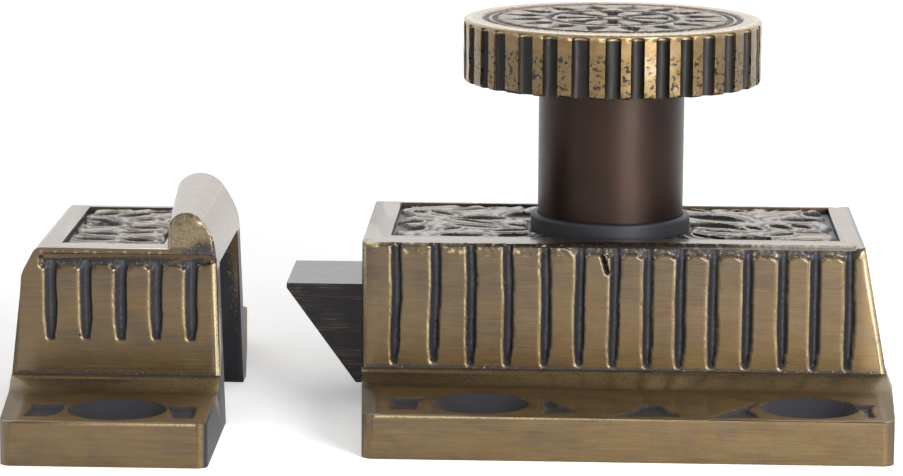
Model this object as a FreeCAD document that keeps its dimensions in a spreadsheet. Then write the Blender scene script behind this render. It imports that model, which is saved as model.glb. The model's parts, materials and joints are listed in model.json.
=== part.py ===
import FreeCAD, Part
import math
import os
import Sketcher

# A cast cupboard latch with a turning knob, and the strike that its bolt
# catches under.  Both pieces stand on their mounting plane, z = 0.
# X runs along the row from the strike to the latch, Y runs away from the
# viewer, Z runs out of the door.  The middle of the latch's four wood screws
# is x = 0, y = 0.  Every length is in millimetres.

doc = FreeCAD.newDocument("cupboard_latch")
sheet = doc.addObject("Spreadsheet::Sheet", "Sizes")

# Driving sizes: one row each, a word and a plain number.
CASE_SIZES = {
    "base_half_depth": 30.15,      # half of the footing, front to back
    "flange_thick": 4.4,           # thickness of both screw flanges
    "case_half_depth": 13.1,       # half of the housing, front to back
    "case_height": 18.5,           # top of the housing over the door
    "case_left": -28.7,            # bolt end of the housing
    "foot_right": 25.3,            # far end of the flanges
    "slope_foot": 24.9,            # where the sloped end meets the flange
    "slope_top": 22.3,             # where the sloped end meets the top
    "end_draw": 1.0,               # how far the flange corners draw in
    "corner_round": 1.2,           # upright corners of the flanges
    "cove_out": 4.2,               # reach of the cove along the flange
    "cove_up": 1.2,                # height of the cove on the wall
    "edge_round": 0.35,            # worn edge of the collar
}
HOLLOW_SIZES = {
    "cavity_left": -26.4,          # inner face of the bolt-end wall
    "cavity_right": 19.6,          # inner face of the far wall
    "cavity_half": 10.0,           # half width of the hollow
    "roof_under": 14.6,            # underside of the roof
    "plate_thick": 1.2,            # closing plate under the hollow
    "plate_left": -27.3,
    "plate_right": 22.0,
    "plate_half": 13.4,
    "plate_gap": 0.1,              # play of the plate in its recess
    "plate_screw_left": -23.2,
    "plate_screw_right": 17.6,
    "plate_screw_side": 11.7,
}
ORNAMENT_SIZES = {
    "groove_first": -25.38,        # first upright groove of the front
    "groove_pitch": 3.88,          # step to the second groove
    "groove_shrink": 0.026,        # hand-cut: each step is a little shorter
    "groove_wide": 1.2,
    "groove_deep": 0.7,
    "groove_foot": 5.9,
    "groove_nip": 0.35,            # cut corners of a groove's foot
    "band_low": 17.45,             # sunk band under the top edge
    "band_high": 18.1,
    "band_deep": 0.5,
    "band_left": -27.4,
    "band_right": 21.6,
    "panel_left": -26.0,           # sunk ornament field on the top
    "panel_right": 20.0,
    "panel_front": -8.6,
    "panel_back": 11.9,
    "panel_deep": 0.6,
}
HOLE_SIZES = {
    "hole_span": 16.3,             # wood screws, half of the long spacing
    "hole_inset": 6.2,             # wood screws, in from the flange edge
    "hole_wide": 2.4,              # radius of the screw's way through
    "sink_wide": 4.95,             # radius of the sink at the flange top
    "plate_hole_wide": 0.9,
    "plate_hole_deep": 5.0,
    "plate_sink_wide": 1.9,
    "plate_sink_deep": 0.9,
    "slot_half": 0.225,            # driver slot of the small screws, half width
    "slot_deep": 0.45,
}
BOLT_SIZES = {
    "bolt_tip": -36.9,             # how far out the bolt reaches
    "bolt_top": 13.0,
    "bolt_under": 2.6,
    "bolt_half": 6.6,
    "bolt_lip": 0.5,               # blunt edge of the bevelled nose
    "bolt_heel": -29.7,            # where the bevel meets the underside
    "bolt_rear": -20.2,            # back of the nose block
    "slide_gap": 0.15,             # play round the bolt in its window
    "tail_front": -26.1,
    "tail_rear": 5.0,
    "tail_half": 9.7,
    "tail_under": 1.35,
    "tail_top": 4.2,
    "post_inner": 5.4,             # the two shoulders that the cam pushes
    "post_top": 12.0,
    "seat_front": 2.2,             # wall that the spring bears on
    "peg_wide": 2.1,
    "peg_long": 3.5,
    "pivot_play": 0.3,             # room round the knob's pivot in the tail
    "bolt_travel": 7.42,
}
SPRING_SIZES = {
    "spring_level": 8.2,           # height of the spring's axis
    "spring_radius": 2.85,         # middle of the wire to the axis
    "wire_radius": 0.45,
    "spring_turns": 6.0,
    "spring_pocket": 0.8,
    "spring_pocket_wide": 3.7,
}
KNOB_SIZES = {
    "knob_axis": -3.5,
    "knob_radius": 15.45,
    "knob_under": 33.7,
    "knob_top": 40.2,
    "shank_radius": 7.57,
    "collar_radius": 8.3,
    "collar_high": 1.3,
    "running_gap": 0.06,           # play of every turning fit
    "spindle_radius": 4.0,
    "stem_radius": 2.4,
    "pivot_radius": 1.9,
    "pivot_foot": 0.3,
    "spigot_long": 3.5,
    "flute_count": 32,
    "flute_radius": 0.75,
    "flute_sink": 0.1,
    "flute_top": 39.85,            # crown of a flute's round upper end
    "rim_round": 0.4,
}
CAM_SIZES = {
    "cam_reach": 7.0,              # axis to the middle of an arm's end
    "cam_rest": 32.0,              # degrees that the arms lean back at rest
    "cam_tip": 1.5,                # round end of an arm
    "cam_arm": 1.0,                # half width of an arm behind its round end
    "cam_gap": 0.2,                # play between an arm and its shoulder
    "cam_low": 6.6,
    "cam_high": 10.6,
    "hub_radius": 3.4,
    "hub_low": 4.8,
    "hub_high": 14.25,
    "pin_radius": 0.75,
    "pin_level": 12.5,
    "washer_thick": 0.3,
    "washer_radius": 5.2,
}
STRIKE_SIZES = {
    "strike_shift": -5.2,          # it stands nearer the viewer
    "strike_left": -63.9,
    "strike_face": -62.75,         # end face at the foot of its chamfer
    "strike_face_high": 15.8,
    "strike_chamfer": -61.3,
    "shoulder_round": 1.0,         # where the chamfer meets the top
    "face_round": 3.5,             # where the chamfer meets the end face
    "strike_draw": 1.4,
    "strike_right": -42.43,
    "lip_end": -43.05,             # right face of the lip, where its hump starts
    "lip_end_high": 17.0,
    "lip_rise_high": 20.9,         # where the left flank turns into the crown
    "lip_foot_front": -48.1,       # the hump is narrow at the front end
    "lip_rise_front": -47.8,
    "lip_fall_front": -44.6,       # where the crown turns down to the right face
    "lip_fall_high_front": 21.5,
    "lip_swell_front": 0.98,       # how far the crown bulges over its chord
    "lip_bow_front": 0.41,         # the same for the stretch down to the right face
    "lip_foot_back": -49.9,        # and wider at the back end
    "lip_rise_back": -49.6,
    "lip_fall_back": -44.9,
    "lip_fall_high_back": 21.0,
    "lip_swell_back": 1.2,
    "lip_bow_back": 0.24,
    "mouth_inner": -44.7,
    "mouth_high": 16.6,
    "pocket_left": -59.0,
    "pocket_roof": 13.5,
    "pocket_half": 9.9,
    "strike_hole": -51.8,
    "strike_groove_first": -59.87,
    "strike_groove_pitch": 3.54,
    "strike_groove_foot": 9.0,
    "strike_band_low": 16.9,
    "strike_band_high": 17.9,
    "strike_band_left": -60.4,
    "strike_band_right": -43.6,
    "strike_panel_left": -59.0,
    "strike_panel_right": -48.6,
    "strike_panel_front": -10.2,
    "strike_panel_back": 11.9,
}


def arc_formula(run, climb, swell):
    """Radius of an arc that swells out over a chord of this run and climb."""
    return "=((%s)^2 + (%s)^2) / (8 * %s) + %s / 2" % (run, climb, swell, swell)


def crown_formula(end):
    """Radius of the lip's crown at one end of the lip."""
    return arc_formula("lip_fall_%s - lip_rise_%s" % (end, end),
                       "lip_fall_high_%s - lip_rise_high" % end, "lip_swell_" + end)


def bow_formula(end):
    """Radius of the stretch from the crown to the right face at one end."""
    return arc_formula("lip_end - lip_fall_" + end,
                       "lip_fall_high_%s - lip_end_high" % end, "lip_bow_" + end)


# Sizes that follow from the ones above, written as formulas in the sheet.
FOLLOWING_SIZES = {
    "cam_back": "=cam_reach * sin(cam_rest * 1deg)",
    "cam_side": "=cam_reach * cos(cam_rest * 1deg)",
    "arm_back": "=cam_arm * sin(cam_rest * 1deg)",
    "arm_side": "=cam_arm * cos(cam_rest * 1deg)",
    "cove_radius": "=(cove_out * cove_out + cove_up * cove_up) / (2 * cove_up)",
    "lip_crown_front": crown_formula("front"),
    "lip_crown_back": crown_formula("back"),
    "lip_curl_front": bow_formula("front"),
    "lip_curl_back": bow_formula("back"),
    "sink_deep": "=sink_wide - hole_wide",
    "spring_front": "=tail_rear + wire_radius",
    "spring_long": "=cavity_right + spring_pocket - tail_rear - 2 * wire_radius",
}
GROOVE_COUNT = 14
STRIKE_GROOVE_COUNT = 5
PART_FOLDER = "parts"
OVERRUN = 1.0
LINE_ENDS = (1, 2)                 # how a sketch numbers the start and end of a curve


def fill_sheet():
    """Write every driving size, then the sizes that follow from them."""
    row = 1
    groups = [CASE_SIZES, HOLLOW_SIZES, ORNAMENT_SIZES, HOLE_SIZES, BOLT_SIZES,
              SPRING_SIZES, KNOB_SIZES, CAM_SIZES, STRIKE_SIZES, FOLLOWING_SIZES]
    for group in groups:
        for word, value in group.items():
            sheet.set("A%d" % row, word)
            sheet.set("B%d" % row, str(value))
            sheet.setAlias("B%d" % row, word)
            row += 1
    doc.recompute()


class Size:
    """A length as the sheet words that give it and its present value."""

    def __init__(self, words, value):
        self.words = words
        self.value = value

    def __add__(self, other):
        other = as_size(other)
        return Size("(%s + %s)" % (self.words, other.words), self.value + other.value)

    def __sub__(self, other):
        other = as_size(other)
        return Size("(%s - %s)" % (self.words, other.words), self.value - other.value)

    def __mul__(self, factor):
        return Size("(%s * %s)" % (self.words, factor), self.value * factor)

    def __neg__(self):
        return Size("(0 - %s)" % self.words, -self.value)


def as_size(thing):
    """Take a plain number or a Size and give a Size."""
    if isinstance(thing, Size):
        return thing
    return Size(repr(float(thing)), float(thing))


def size(word):
    """The size that the sheet holds under this word."""
    return Size("Sizes.%s" % word, float(sheet.get(word)))


def new_body(label):
    body = doc.addObject("PartDesign::Body", label)
    body.Label = label
    return body


def origin_plane(body, role):
    for item in body.Origin.OriginFeatures:
        if item.Role == role:
            return item
    raise ValueError("no plane " + role)


def new_sketch(body, name, role, lift):
    """A sketch parallel to one of the body's own planes."""
    sketch = body.newObject("Sketcher::SketchObject", name)
    sketch.AttachmentSupport = [(origin_plane(body, role), "")]
    sketch.MapMode = "FlatFace"
    sketch.setExpression("AttachmentOffset.Base.z", as_size(lift).words)
    return sketch


def pin_point(sketch, line, end, across, up):
    """Hold one end of a line at a point given by two sizes."""
    for kind, distance in (("DistanceX", as_size(across)), ("DistanceY", as_size(up))):
        index = sketch.addConstraint(
            Sketcher.Constraint(kind, -1, 1, line, end, distance.value))
        word = "%s_%d_%d" % (kind[-1].lower(), line, end)
        sketch.renameConstraint(index, word)
        sketch.setExpression("Constraints." + word, distance.words)


class Arc:
    """A rounded side of an outline: its radius, and whether it bulges out."""

    def __init__(self, radius, bulging):
        self.radius = as_size(radius)
        self.bulging = bulging

    def curve(self, start, end):
        """The arc between two corners of a counter-clockwise outline."""
        if not self.bulging:
            start, end = end, start
        chord = end - start
        half = chord.Length / 2
        rise = math.sqrt(self.radius.value ** 2 - half ** 2)
        inward = FreeCAD.Vector(-chord.y, chord.x, 0).normalize()
        middle = (start + end) / 2 + inward * rise
        first = math.atan2(start.y - middle.y, start.x - middle.x)
        last = math.atan2(end.y - middle.y, end.x - middle.x)
        if last < first:
            last += math.tau
        circle = Part.Circle(middle, FreeCAD.Vector(0, 0, 1), self.radius.value)
        return Part.ArcOfCircle(circle, first, last)

    def ends(self):
        """Numbers of the curve's points at the two corners."""
        if self.bulging:
            return LINE_ENDS
        return LINE_ENDS[::-1]


def add_outline(sketch, corners):
    """Draw a closed outline through corners, counter-clockwise.

    A corner is two sizes.  A third entry makes the side that starts there
    an arc.
    """
    points = [FreeCAD.Vector(as_size(corner[0]).value, as_size(corner[1]).value, 0)
              for corner in corners]
    arcs = [corner[2] if len(corner) > 2 else None for corner in corners]
    first = sketch.GeometryCount
    ends = []
    for place, arc in enumerate(arcs):
        start = points[place]
        following = points[(place + 1) % len(points)]
        if arc is None:
            sketch.addGeometry(Part.LineSegment(start, following), False)
            ends.append(LINE_ENDS)
        else:
            sketch.addGeometry(arc.curve(start, following), False)
            ends.append(arc.ends())
    for place in range(len(points)):
        following = (place + 1) % len(points)
        sketch.addConstraint(Sketcher.Constraint(
            "Coincident", first + place, ends[place][1], first + following,
            ends[following][0]))
    for place, corner in enumerate(corners):
        pin_point(sketch, first + place, ends[place][0], corner[0], corner[1])
        if arcs[place] is not None:
            set_radius(sketch, first + place, arcs[place].radius)


def set_radius(sketch, curve, radius):
    """Hold the radius of a circle or an arc at a size."""
    rule = sketch.addConstraint(Sketcher.Constraint("Radius", curve, radius.value))
    word = "r_%d" % curve
    sketch.renameConstraint(rule, word)
    sketch.setExpression("Constraints." + word, radius.words)


def pad(body, sketch, name, length):
    """Raise a sketch along its own normal."""
    feature = body.newObject("PartDesign::Pad", name)
    feature.Profile = sketch
    feature.setExpression("Length", as_size(length).words)
    sketch.Visibility = False
    doc.recompute()
    return feature


def cut(body, sketch, name, length):
    """Sink a sketch into the body, on whichever side takes material away."""
    before = body.Shape.Volume
    feature = body.newObject("PartDesign::Pocket", name)
    feature.Profile = sketch
    feature.setExpression("Length", as_size(length).words)
    sketch.Visibility = False
    doc.recompute()
    if body.Shape.Volume > before - 1e-6 or not feature.isValid():
        feature.Reversed = True
        doc.recompute()
    return feature


def set_place(feature, place, turn=None):
    """Put a primitive at a point given by three sizes, maybe turned."""
    if turn is not None:
        feature.Placement = FreeCAD.Placement(FreeCAD.Vector(0, 0, 0), turn)
    for axis, distance in zip("xyz", place):
        feature.setExpression("Placement.Base." + axis, as_size(distance).words)


def cylinder(body, kind, name, radius, length, place, turn=None):
    """Add or take away a round bar; kind is Additive or Subtractive."""
    feature = body.newObject("PartDesign::%sCylinder" % kind, name)
    feature.setExpression("Radius", as_size(radius).words)
    feature.setExpression("Height", as_size(length).words)
    set_place(feature, place, turn)
    doc.recompute()
    return feature


def cone(body, kind, name, low_radius, high_radius, length, place):
    """Add or take away a cone that stands upright."""
    feature = body.newObject("PartDesign::%sCone" % kind, name)
    feature.setExpression("Radius1", as_size(low_radius).words)
    feature.setExpression("Radius2", as_size(high_radius).words)
    feature.setExpression("Height", as_size(length).words)
    set_place(feature, place)
    doc.recompute()
    return feature


def ball(body, kind, name, radius, place):
    """Add or take away a ball."""
    feature = body.newObject("PartDesign::%sSphere" % kind, name)
    feature.setExpression("Radius", as_size(radius).words)
    set_place(feature, place)
    doc.recompute()
    return feature


def box(body, kind, name, low, high):
    """Add or take away a block between two corners."""
    feature = body.newObject("PartDesign::%sBox" % kind, name)
    for word, start, end in zip(("Length", "Width", "Height"), low, high):
        span = as_size(end) - as_size(start)
        feature.setExpression(word, span.words)
    set_place(feature, low)
    doc.recompute()
    return feature


def edges_where(shape, test):
    """Names of the edges whose own middle and box pass a test."""
    names = []
    for index, edge in enumerate(shape.Edges):
        if test(edge):
            names.append("Edge%d" % (index + 1))
    return names


def near(a, b):
    return abs(a - b) < 1e-4


def soften(body, name, radius, test):
    """Round the edges that pass a test."""
    base = body.Tip
    names = edges_where(base.Shape, test)
    if not names:
        raise ValueError("no edges for " + name)
    feature = body.newObject("PartDesign::Fillet", name)
    feature.Base = (base, names)
    feature.setExpression("Radius", as_size(radius).words)
    doc.recompute()
    return feature


def is_upright(edge):
    box_of = edge.BoundBox
    return box_of.XLength < 1e-6 and box_of.YLength < 1e-6


def along_depth(edge, across, up):
    """True for an edge along Y through a point of the front view."""
    box_of = edge.BoundBox
    if box_of.XLength > 1e-6 or box_of.ZLength > 1e-6:
        return False
    return near(box_of.XMin, across) and near(box_of.ZMin, up)


ALONG_X = FreeCAD.Rotation(FreeCAD.Vector(0, 1, 0), 90)


def cast_section(body, start, length, height):
    """Pad the flanged section along the row; its two coves are hollow arcs."""
    sketch = new_sketch(body, body.Label + "_section", "YZ_Plane", start)
    outer = size("base_half_depth")
    flange = size("flange_thick")
    wall = size("case_half_depth")
    cove = wall + size("cove_out")
    spring = flange + size("cove_up")
    hollow = Arc(size("cove_radius"), False)
    add_outline(sketch, [
        (-outer, 0), (outer, 0), (outer, flange), (cove, flange, hollow), (wall, spring),
        (wall, height), (-wall, height), (-wall, spring, hollow), (-cove, flange),
        (-outer, flange)])
    return pad(body, sketch, body.Label + "_cast", length)


def trim_side(body, name, corners):
    """Cut everything inside an outline of the front view, front to back."""
    reach = size("base_half_depth") + OVERRUN
    sketch = new_sketch(body, name + "_sketch", "XZ_Plane", reach)
    add_outline(sketch, corners)
    return cut(body, sketch, name, reach * 2)


def draw_in_corners(body, left, right, draw, flange_top):
    """Taper the flange ends: the footing is narrower at its outer edges."""
    wall = size("case_half_depth")
    outer = size("base_half_depth") + OVERRUN
    share = (outer.value - wall.value) / (outer.value - OVERRUN - wall.value)
    far_draw = draw * share
    sides = [("left", left, 1.0), ("right", right, -1.0)]
    for side_name, end, inward in sides:
        for depth_name, way in (("front", -1.0), ("back", 1.0)):
            name = "%s_draw_%s_%s" % (body.Label, side_name, depth_name)
            sketch = new_sketch(body, name + "_sketch", "XY_Plane", -as_size(OVERRUN))
            outside = end - OVERRUN * inward
            corners = [(end, wall * way), (end + far_draw * inward, outer * way),
                       (outside, outer * way), (outside, wall * way)]
            add_outline(sketch, corners)
            cut(body, sketch, name, flange_top + OVERRUN * 2)


def wood_screw_holes(body, places):
    """Sunk holes through the flanges at the given places along the row."""
    inset = size("base_half_depth") - size("hole_inset")
    flange = size("flange_thick")
    sink = size("sink_deep")
    for number, across in enumerate(places):
        for depth_name, way in (("front", -1.0), ("back", 1.0)):
            tag = "%s_screw_%s_%d" % (body.Label, depth_name, number)
            low = (across, inset * way, -as_size(OVERRUN))
            cylinder(body, "Subtractive", tag, size("hole_wide"), flange + OVERRUN, low)
            start = (across, inset * way, flange - sink)
            wide = size("sink_wide") + OVERRUN
            cone(body, "Subtractive", tag + "_sink", size("hole_wide"), wide,
                 sink + OVERRUN, start)


def upright_grooves(body, name, middles, foot, top):
    """Sink a row of upright grooves in the front wall and in the back wall."""
    half = size("groove_wide") * 0.5
    nip = size("groove_nip")
    face = size("case_half_depth") - size("groove_deep")
    for side_name, lift in (("front", face), ("back", -face)):
        tag = "%s_%s" % (name, side_name)
        sketch = new_sketch(body, tag + "_sketch", "XZ_Plane", lift)
        for middle in middles:
            corners = [(middle - half, top), (middle - half, foot + nip),
                       (middle - half + nip, foot), (middle + half - nip, foot),
                       (middle + half, foot + nip), (middle + half, top)]
            add_outline(sketch, corners)
        sink_outward(body, sketch, tag, size("groove_deep") + OVERRUN, side_name)


def sink_outward(body, sketch, name, length, side_name):
    """Pocket from a plane inside a wall out through that wall's face."""
    feature = body.newObject("PartDesign::Pocket", name)
    feature.Profile = sketch
    feature.setExpression("Length", as_size(length).words)
    feature.Reversed = side_name == "front"
    sketch.Visibility = False
    doc.recompute()
    return feature


def sunk_band(body, name, left, right, low, high):
    """A level band under the top edge, on the front and on the back."""
    wall = size("case_half_depth")
    floor = wall - size("band_deep")
    outside = wall + OVERRUN
    box(body, "Subtractive", name + "_front", (left, -outside, low), (right, -floor, high))
    box(body, "Subtractive", name + "_back", (left, floor, low), (right, outside, high))


def make_case():
    """The cast housing of the latch with its two screw flanges."""
    body = new_body("latch_case")
    left = size("case_left")
    right = size("foot_right")
    top = size("case_height")
    flange = size("flange_thick")
    above = top + OVERRUN
    cast_section(body, left, right - left, top)
    outside = right + OVERRUN
    trim_side(body, "sloped_end", [
        (size("slope_foot"), flange), (outside, flange), (outside, above),
        (size("slope_top"), above), (size("slope_top"), top)])
    draw_in_corners(body, left, right, size("end_draw"), flange)
    soften(body, "case_corners", size("corner_round"),
           lambda edge: is_upright(edge) and is_flange_corner(edge))
    case_ornament(body)
    case_collar(body)
    case_hollow(body)
    wood_screw_holes(body, [-size("hole_span"), size("hole_span")])
    return body


def is_flange_corner(edge):
    """True for the four upright edges at the outer corners of a footing."""
    box_of = edge.BoundBox
    outer = size("base_half_depth").value
    return near(abs(box_of.YMin), outer) and near(box_of.ZMin, 0.0)


def case_ornament(body):
    """Grooves, bands and the sunk field of the top."""
    first = size("groove_first")
    pitch = size("groove_pitch")
    shrink = size("groove_shrink")
    middles = [first + pitch * n - shrink * (n * n) for n in range(GROOVE_COUNT)]
    upright_grooves(body, "case_grooves", middles, size("groove_foot"),
                    size("band_low") + size("groove_nip"))
    sunk_band(body, "case_band", size("band_left"), size("band_right"),
              size("band_low"), size("band_high"))
    top = size("case_height")
    box(body, "Subtractive", "case_field",
        (size("panel_left"), size("panel_front"), top - size("panel_deep")),
        (size("panel_right"), size("panel_back"), top + OVERRUN))


def case_collar(body):
    """The low ring that the shank of the knob turns in, and its bore."""
    axis = size("knob_axis")
    roof = size("roof_under")
    top = size("case_height")
    crown = top + size("collar_high")
    floor = top - size("panel_deep")
    gap = size("running_gap")
    cylinder(body, "Additive", "collar", size("collar_radius"), crown - floor,
             (axis, 0, floor))
    soften(body, "collar_edge", size("edge_round"),
           lambda edge: is_round_edge(edge, "collar_radius", crown.value))
    cylinder(body, "Subtractive", "collar_bore", size("shank_radius") + gap,
             crown - floor + OVERRUN, (axis, 0, floor))
    cylinder(body, "Subtractive", "spindle_bore", size("spindle_radius") + gap,
             top - roof + OVERRUN, (axis, 0, roof - OVERRUN))


def is_round_edge(edge, word, level):
    """True for a level circle of the named radius at this height."""
    curve = edge.Curve
    if not isinstance(curve, Part.Circle):
        return False
    return near(curve.Radius, size(word).value) and near(curve.Center.z, level)


def case_hollow(body):
    """The hollow for the bolt, its window and the seat of the back plate."""
    left = size("cavity_left")
    right = size("cavity_right")
    half = size("cavity_half")
    gap = size("slide_gap")
    under = as_size(-OVERRUN)
    box(body, "Subtractive", "hollow", (left, -half, under),
        (right, half, size("roof_under")))
    play = size("plate_gap")
    box(body, "Subtractive", "plate_seat",
        (size("plate_left") - play, -size("plate_half") - play, under),
        (size("plate_right") + play, size("plate_half") + play, size("plate_thick")))
    box(body, "Subtractive", "bolt_window",
        (size("case_left") - OVERRUN, -size("bolt_half") - gap, size("bolt_under") - gap),
        (left + OVERRUN, size("bolt_half") + gap, size("bolt_top") + gap))
    cylinder(body, "Subtractive", "spring_seat", size("spring_pocket_wide"),
             size("spring_pocket") + OVERRUN,
             (right - OVERRUN, 0, size("spring_level")), ALONG_X)
    for number, (across, along) in enumerate(plate_screw_places()):
        cylinder(body, "Subtractive", "plate_screw_hole_%d" % number,
                 size("plate_hole_wide"), size("plate_hole_deep"), (across, along, 0))


def plate_screw_places():
    side = size("plate_screw_side")
    left = size("plate_screw_left")
    right = size("plate_screw_right")
    return [(left, -side), (left, side), (right, -side), (right, side)]


def make_back_plate():
    """The sheet that closes the hollow, with the knob's lower bearing."""
    body = new_body("back_plate")
    thick = size("plate_thick")
    box(body, "Additive", "plate_sheet",
        (size("plate_left"), -size("plate_half"), 0),
        (size("plate_right"), size("plate_half"), thick))
    cylinder(body, "Subtractive", "pivot_hole", size("pivot_radius") + size("running_gap"),
             thick + OVERRUN, (size("knob_axis"), 0, 0))
    for number, (across, along) in enumerate(plate_screw_places()):
        cylinder(body, "Subtractive", "plate_way_%d" % number,
                 size("plate_hole_wide") + size("plate_gap"), thick + OVERRUN,
                 (across, along, 0))
        sunk_head(body, "Subtractive", "plate_sink_%d" % number, across, along, 0.0)
    return body


def sunk_head(body, kind, name, across, along, slack):
    """The cone of a sunk screw head, wide side down, flush with z = 0."""
    return cone(body, kind, name, size("plate_sink_wide"), size("plate_hole_wide"),
                size("plate_sink_deep"), (across, along, slack))


def make_plate_screw(number, across, along):
    """One small sunk screw of the back plate, with a driver slot."""
    body = new_body("back_plate_screw_%d" % number)
    sunk_head(body, "Additive", "head_%d" % number, across, along, 0.0)
    cylinder(body, "Additive", "thread_%d" % number, size("plate_hole_wide"),
             size("plate_hole_deep") - size("plate_gap"), (across, along, 0))
    half = size("slot_half")
    wide = size("plate_sink_wide") + OVERRUN
    deep = size("slot_deep")
    box(body, "Subtractive", "slot_%d" % number, (across - wide, along - half, -deep),
        (across + wide, along + half, deep))
    return body


def make_bolt():
    """The sprung bolt: bevelled nose, sliding tail, shoulders for the cam."""
    body = new_body("spring_bolt")
    half = size("bolt_half")
    top = size("bolt_top")
    under = size("bolt_under")
    sketch = new_sketch(body, "nose_sketch", "XZ_Plane", half)
    add_outline(sketch, [
        (size("bolt_tip"), top), (size("bolt_tip"), top - size("bolt_lip")),
        (size("bolt_heel"), under), (size("bolt_rear"), under), (size("bolt_rear"), top)])
    nose = pad(body, sketch, "nose", half * 2)
    if nose.Shape.BoundBox.YMin < -half.value - 1e-4:
        nose.Reversed = True
        doc.recompute()
    bolt_tail(body)
    return body


def bolt_tail(body):
    """The part of the bolt that stays in the housing."""
    side = size("tail_half")
    rear = size("tail_rear")
    plate_top = size("tail_top")
    post_top = size("post_top")
    inner = size("post_inner")
    face = size("knob_axis") - size("cam_back") + size("cam_tip") + size("cam_gap")
    box(body, "Additive", "tail_plate", (size("tail_front"), -side, size("tail_under")),
        (rear, side, plate_top))
    box(body, "Additive", "front_post", (face, -side, plate_top), (rear, -inner, post_top))
    box(body, "Additive", "back_post", (face, inner, plate_top), (rear, side, post_top))
    box(body, "Additive", "spring_wall", (size("seat_front"), -side, plate_top),
        (rear, side, post_top))
    cylinder(body, "Additive", "spring_peg", size("peg_wide"), size("peg_long") + OVERRUN,
             (rear - OVERRUN, 0, size("spring_level")), ALONG_X)
    way = size("pivot_radius") + size("pivot_play")
    axis = size("knob_axis")
    far = axis - size("bolt_travel")
    box(body, "Subtractive", "pivot_way", (far, -way, 0), (axis, way, plate_top + OVERRUN))
    deep = plate_top + OVERRUN
    cylinder(body, "Subtractive", "pivot_way_near", way, deep, (axis, 0, 0))
    cylinder(body, "Subtractive", "pivot_way_far", way, deep, (far, 0, 0))


def make_spring():
    """The wire spring that drives the bolt out."""
    helix = doc.addObject("Part::Helix", "spring_path")
    turn = FreeCAD.Rotation(FreeCAD.Vector(0, 1, 0), 90)
    helix.Placement = FreeCAD.Placement(FreeCAD.Vector(0, 0, 0), turn)
    helix.setExpression("Radius", "Sizes.spring_radius")
    helix.setExpression("Height", "Sizes.spring_long")
    helix.setExpression("Pitch", "Sizes.spring_long / Sizes.spring_turns")
    helix.setExpression("Placement.Base.x", "Sizes.spring_front")
    helix.setExpression("Placement.Base.z", "Sizes.spring_level")
    wire = doc.addObject("Part::Circle", "spring_wire")
    lean = FreeCAD.Rotation(FreeCAD.Vector(1, 0, 0), 90)
    wire.Placement = FreeCAD.Placement(FreeCAD.Vector(0, 0, 0), lean)
    wire.setExpression("Radius", "Sizes.wire_radius")
    wire.setExpression("Placement.Base.x", "Sizes.spring_front")
    wire.setExpression("Placement.Base.z", "Sizes.spring_level - Sizes.spring_radius")
    sweep = doc.addObject("Part::Sweep", "bolt_spring")
    sweep.Sections = [wire]
    sweep.Spine = (helix, ["Edge1"])
    sweep.Solid = True
    sweep.Frenet = True
    sweep.Label = "bolt_spring"
    doc.recompute()
    return sweep


def make_shank():
    """The dark shank of the knob with the spindle that goes inside."""
    body = new_body("knob_shank")
    axis = size("knob_axis")
    gap = size("running_gap")
    seat = size("case_height") - size("panel_deep") + gap
    under = size("knob_under")
    hub_end = size("hub_high")
    stem_foot = size("hub_low")
    cylinder(body, "Additive", "shank", size("shank_radius"), under - seat, (axis, 0, seat))
    cylinder(body, "Additive", "spindle", size("spindle_radius"), seat - hub_end,
             (axis, 0, hub_end))
    cylinder(body, "Additive", "stem", size("stem_radius"), hub_end - stem_foot,
             (axis, 0, stem_foot))
    cylinder(body, "Additive", "pivot", size("pivot_radius"), stem_foot - size("pivot_foot"),
             (axis, 0, size("pivot_foot")))
    cylinder(body, "Additive", "spigot", size("spindle_radius"), size("spigot_long"),
             (axis, 0, under))
    cross_hole(body)
    return body


def cross_hole(body):
    """The hole for the pin that ties the cam to the spindle."""
    reach = size("hub_radius") + OVERRUN
    cylinder(body, "Subtractive", body.Label + "_pin_hole", size("pin_radius"), reach * 2,
             (size("knob_axis") - reach, 0, size("pin_level")), ALONG_X)


def make_cam():
    """The two-armed cam under the knob; either arm can draw the bolt."""
    body = new_body("turning_cam")
    axis = size("knob_axis")
    low = size("cam_low")
    thick = size("cam_high") - low
    cylinder(body, "Additive", "hub", size("hub_radius"), size("hub_high") - size("hub_low"),
             (axis, 0, size("hub_low")))
    back = size("cam_back")
    side = size("cam_side")
    shift_x = size("arm_side")
    shift_y = size("arm_back")
    for name, way in (("front", -1.0), ("back", 1.0)):
        sketch = new_sketch(body, "arm_sketch_" + name, "XY_Plane", low)
        add_outline(sketch, [
            (axis + shift_x, shift_y * way), (axis - back + shift_x, (side + shift_y) * way),
            (axis - back - shift_x, (side - shift_y) * way),
            (axis - shift_x, shift_y * -way)])
        pad(body, sketch, "arm_" + name, thick)
        cylinder(body, "Additive", "arm_tip_" + name, size("cam_tip"), thick,
                 (axis - back, side * way, low))
    cylinder(body, "Subtractive", "stem_bore", size("stem_radius"), size("hub_high"),
             (axis, 0, 0))
    cross_hole(body)
    return body


def make_cam_pin():
    """The pin driven through the hub and the spindle."""
    body = new_body("cam_pin")
    reach = size("hub_radius") - size("plate_gap")
    cylinder(body, "Additive", "pin", size("pin_radius"), reach * 2,
             (size("knob_axis") - reach, 0, size("pin_level")), ALONG_X)
    return body


def make_washer():
    """The thin ring between the cam's hub and the roof of the housing."""
    body = new_body("thrust_washer")
    thick = size("washer_thick")
    low = size("roof_under") - thick
    place = (size("knob_axis"), 0, low)
    cylinder(body, "Additive", "washer_ring", size("washer_radius"), thick, place)
    cylinder(body, "Subtractive", "washer_bore", size("spindle_radius") + size("running_gap"),
             thick, place)
    return body


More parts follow.
